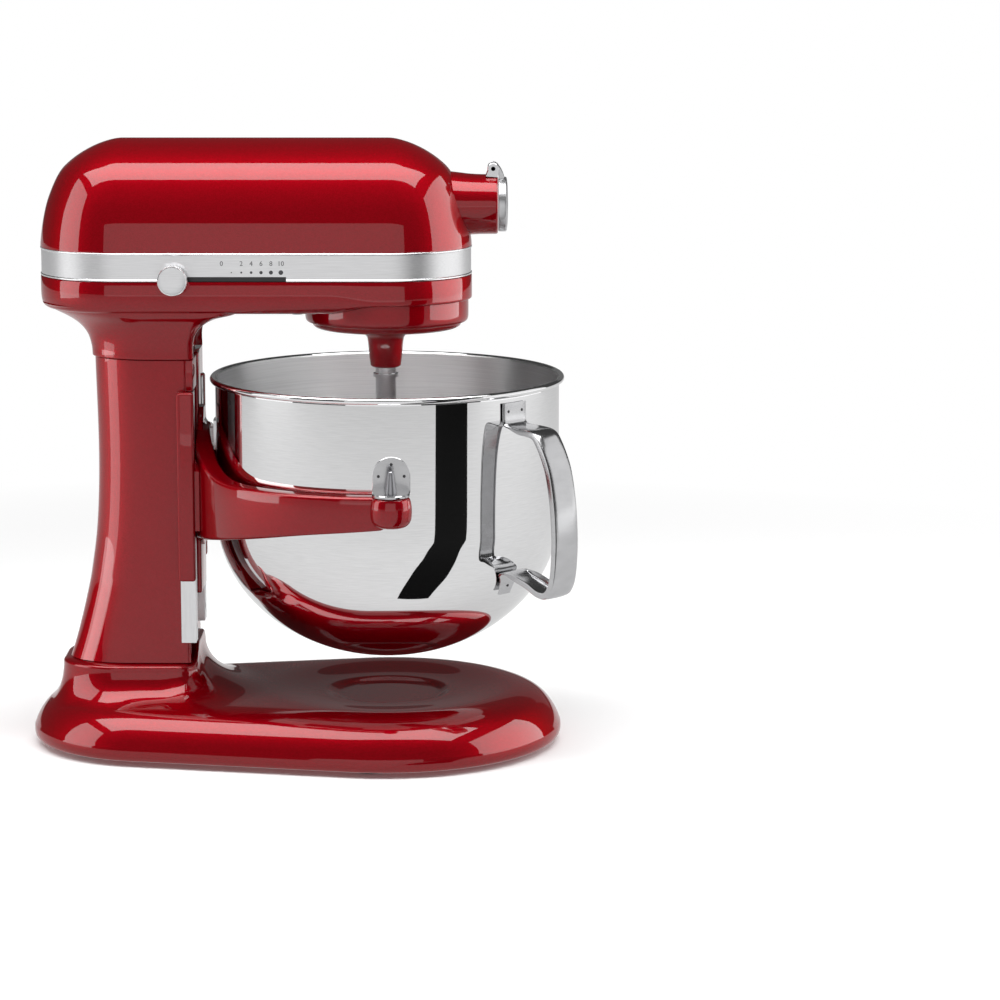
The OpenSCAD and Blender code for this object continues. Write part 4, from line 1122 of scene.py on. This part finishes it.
def lever_grip():
    """A moulded handle round the lever's free end, which hangs at rest."""
    pivot = Vector((lever_x, middle("lever_grip")[1], lever_z))
    direction = math.radians(258)
    along = Vector((math.cos(direction), 0, math.sin(direction)))
    across = Vector((0, 1, 0))
    third = along.cross(across)
    profile = curve([(4.2, 50), (5.2, 50.6), (5.8, 53), (6.1, 58), (6.45, 66), (6.4, 72), (5.4, 76),
                     (3.2, 77.7), (0, 78)], 5)
    rings = []
    for r, d in [(0, 50), *profile]:
        rings.append([pivot + along * d + (across * math.cos(a) + third * math.sin(a)) * r
                      for a in turns(40)])
    form = Form().loft(rings)
    return piece("lever_grip_moulded", form, "lift_lever", [BLACK], ["lever_grip"])


head_upper()
trim_band()
speed_scale()
head_lower()
planetary()
speed_knob()
hub_cover()
column()
base()
yoke()
locating_pins()
bowl_clip()
bowl()
bowl_handle()
bowl_ears()
lever_grip()


# ---- Studio, in metres ----


def floor():
    """A table that looks pale to the camera and fades to white. Light and reflections see darker cloth."""
    half = 6.0
    corners = [(-half, -half, 0), (half, -half, 0), (half, half, 0), (-half, half, 0)]
    mesh = bpy.data.meshes.new("floor")
    mesh.from_pydata(corners, [], [(0, 1, 2, 3)])
    obj = linked("floor", mesh)
    s = Shader("pale_floor")
    cloth = s.node("ShaderNodeBsdfDiffuse", Color=(0.22, 0.22, 0.22, 1)).outputs[0]
    glow = s.node("ShaderNodeEmission", Strength=0.52).outputs[0]
    paper = s.node("ShaderNodeBsdfDiffuse", Color=(0.93, 0.93, 0.93, 1)).outputs[0]
    lift = s.node("ShaderNodeEmission", Strength=0.03).outputs[0]
    white = s.node("ShaderNodeEmission", Strength=1.0).outputs[0]
    away = s.node("ShaderNodeVectorMath", Vector=s.point)
    away.operation = "LENGTH"
    fade = s.node("ShaderNodeMapRange", Value=away.outputs["Value"], From_Min=0.45, From_Max=1.1)
    near = s.join("ShaderNodeAddShader", paper, lift)
    seen = s.join("ShaderNodeMixShader", near, white, Fac=fade.outputs["Result"])
    matt = s.join("ShaderNodeAddShader", cloth, glow)
    rays = s.node("ShaderNodeLightPath").outputs["Is Camera Ray"]
    both = s.join("ShaderNodeMixShader", matt, seen, Fac=rays)
    s.tree.links.new(both, s.tree.nodes["Material Output"].inputs["Surface"])
    mesh.materials.append(s.material)
    return s.material


def black_flag():
    """A dark wedge on the table that only reflections see. It gives the bowl its black stripe."""
    # Distance from the bowl's axis in metres, with the bearings of the wedge's two edges in degrees.
    near_r, growth = 0.16, 1.12
    edges = [(near_r, 7.5, 28), (0.26, 15, 38), (0.45, 23.5, 44.5), (1.1, 31.5, 53), (4.5, 33, 55.5)]
    radii = [near_r * growth**i for i in range(30)]
    points = []
    for side in (1, 2):
        for r in radii:
            a = math.radians(at([(edge[0], edge[side]) for edge in edges], r))
            points.append(place(0, 0, 1) + Vector((r * math.sin(a), -r * math.cos(a), 0)))
    n = len(radii)
    mesh = bpy.data.meshes.new("black_flag")
    mesh.from_pydata(points, [], [(i, i + 1, n + i + 1, n + i) for i in range(n - 1)])
    obj = linked("black_flag", mesh)
    s = Shader("black_cloth", Roughness=0.9, Specular_IOR_Level=0.1)
    s.set("Base Color", s.blend(s.noise(30.0), (0.001, 0.001, 0.001), (0.0015, 0.0015, 0.0015)))
    mesh.materials.append(s.material)
    obj.visible_camera = False
    obj.visible_diffuse = False
    obj.visible_shadow = False


def lit_group(name, chosen):
    """A collection of the visible meshes that a light is linked to."""
    group = bpy.data.collections.new(name)
    for obj in bpy.context.scene.objects:
        if obj.type == "MESH" and chosen(obj):
            group.objects.link(obj)
    return group


def soft_box(name, where, aim, width, height, radiance, group=None):
    """A rectangular area light that faces the point aim. Its power follows from the radiance it shows."""
    light = bpy.data.lights.new(name, "AREA")
    light.shape = "RECTANGLE"
    light.size, light.size_y = width, height
    light.energy = radiance * width * height * math.pi
    obj = linked(name, light)
    obj.location = where
    obj.rotation_euler = (Vector(aim) - Vector(where)).to_track_quat("-Z", "Y").to_euler()
    if group:
        obj.light_linking.receiver_collection = group
    return obj


def is_matt_or_red(obj):
    return obj.data.materials and obj.data.materials[0] in (PAINT, FLOOR)


def studio():
    """White to the camera and dim to everything else, with soft boxes for the highlights."""
    world = bpy.data.worlds.new("studio")
    bpy.context.scene.world = world
    world.use_nodes = True
    tree = world.node_tree
    background = tree.nodes["Background"]
    background.inputs["Color"].default_value = (1, 1, 1, 1)
    dim = tree.nodes.new("ShaderNodeBackground")
    dim.inputs["Color"].default_value = (0.06, 0.06, 0.06, 1)
    rays = tree.nodes.new("ShaderNodeLightPath")
    mix = tree.nodes.new("ShaderNodeMixShader")
    tree.links.new(rays.outputs["Is Camera Ray"], mix.inputs["Fac"])
    tree.links.new(dim.outputs[0], mix.inputs[1])
    tree.links.new(background.outputs[0], mix.inputs[2])
    tree.links.new(mix.outputs[0], tree.nodes["World Output"].inputs["Surface"])
    soft_box("top_box", (-0.05, -0.42, 1.75), (-0.05, -0.42, 0), 2.9, 1.1, 5.2)
    matt_or_red = lit_group("painted", is_matt_or_red)
    metal = lit_group("metal", lambda obj: not is_matt_or_red(obj))
    tall = lit_group("tall", lambda obj: obj.name in ("column_casting", "head_neck"))
    soft_box("right_box", (1.9, 0.15, 0.8), (0, 0.15, 0.8), 2.1, 1.6, 3.2, matt_or_red)
    soft_box("left_box", (-1.9, -0.48, 0.85), (0, -0.48, 0.85), 1.15, 1.7, 3.3, matt_or_red)
    soft_box("left_strip", (-1.0, -0.29, 0.42), (0, -0.29, 0.42), 0.4, 0.84, 2.2, tall)
    soft_box("right_metal_box", (1.9, 0.15, 0.8), (0, 0.15, 0.8), 2.1, 1.6, 1.0, metal)
    soft_box("left_metal_box", (-1.9, -0.48, 0.85), (0, -0.48, 0.85), 1.15, 1.7, 1.1, metal)
    soft_box("front_card", (0.0, -3.3, 0.7), (0, 0, 0.7), 3.0, 1.4, 0.9)
    soft_box("back_card", (0, 3.2, 0.7), (0, 0, 0.5), 3.2, 1.0, 0.09)


def camera():
    data = bpy.data.cameras.new("camera")
    data.sensor_width = 36
    data.lens = 128.6
    data.clip_end = 50
    obj = linked("camera", data)
    right_of_bowl, distance, height, tilt = 77.6, 2436, 596, 9.95
    obj.location = place(right_of_bowl, -distance, height)
    obj.rotation_euler = (math.radians(90 - tilt), 0, 0)
    bpy.context.scene.camera = obj


FLOOR = floor()
black_flag()
studio()
camera()
bpy.context.scene.view_settings.view_transform = "Standard"
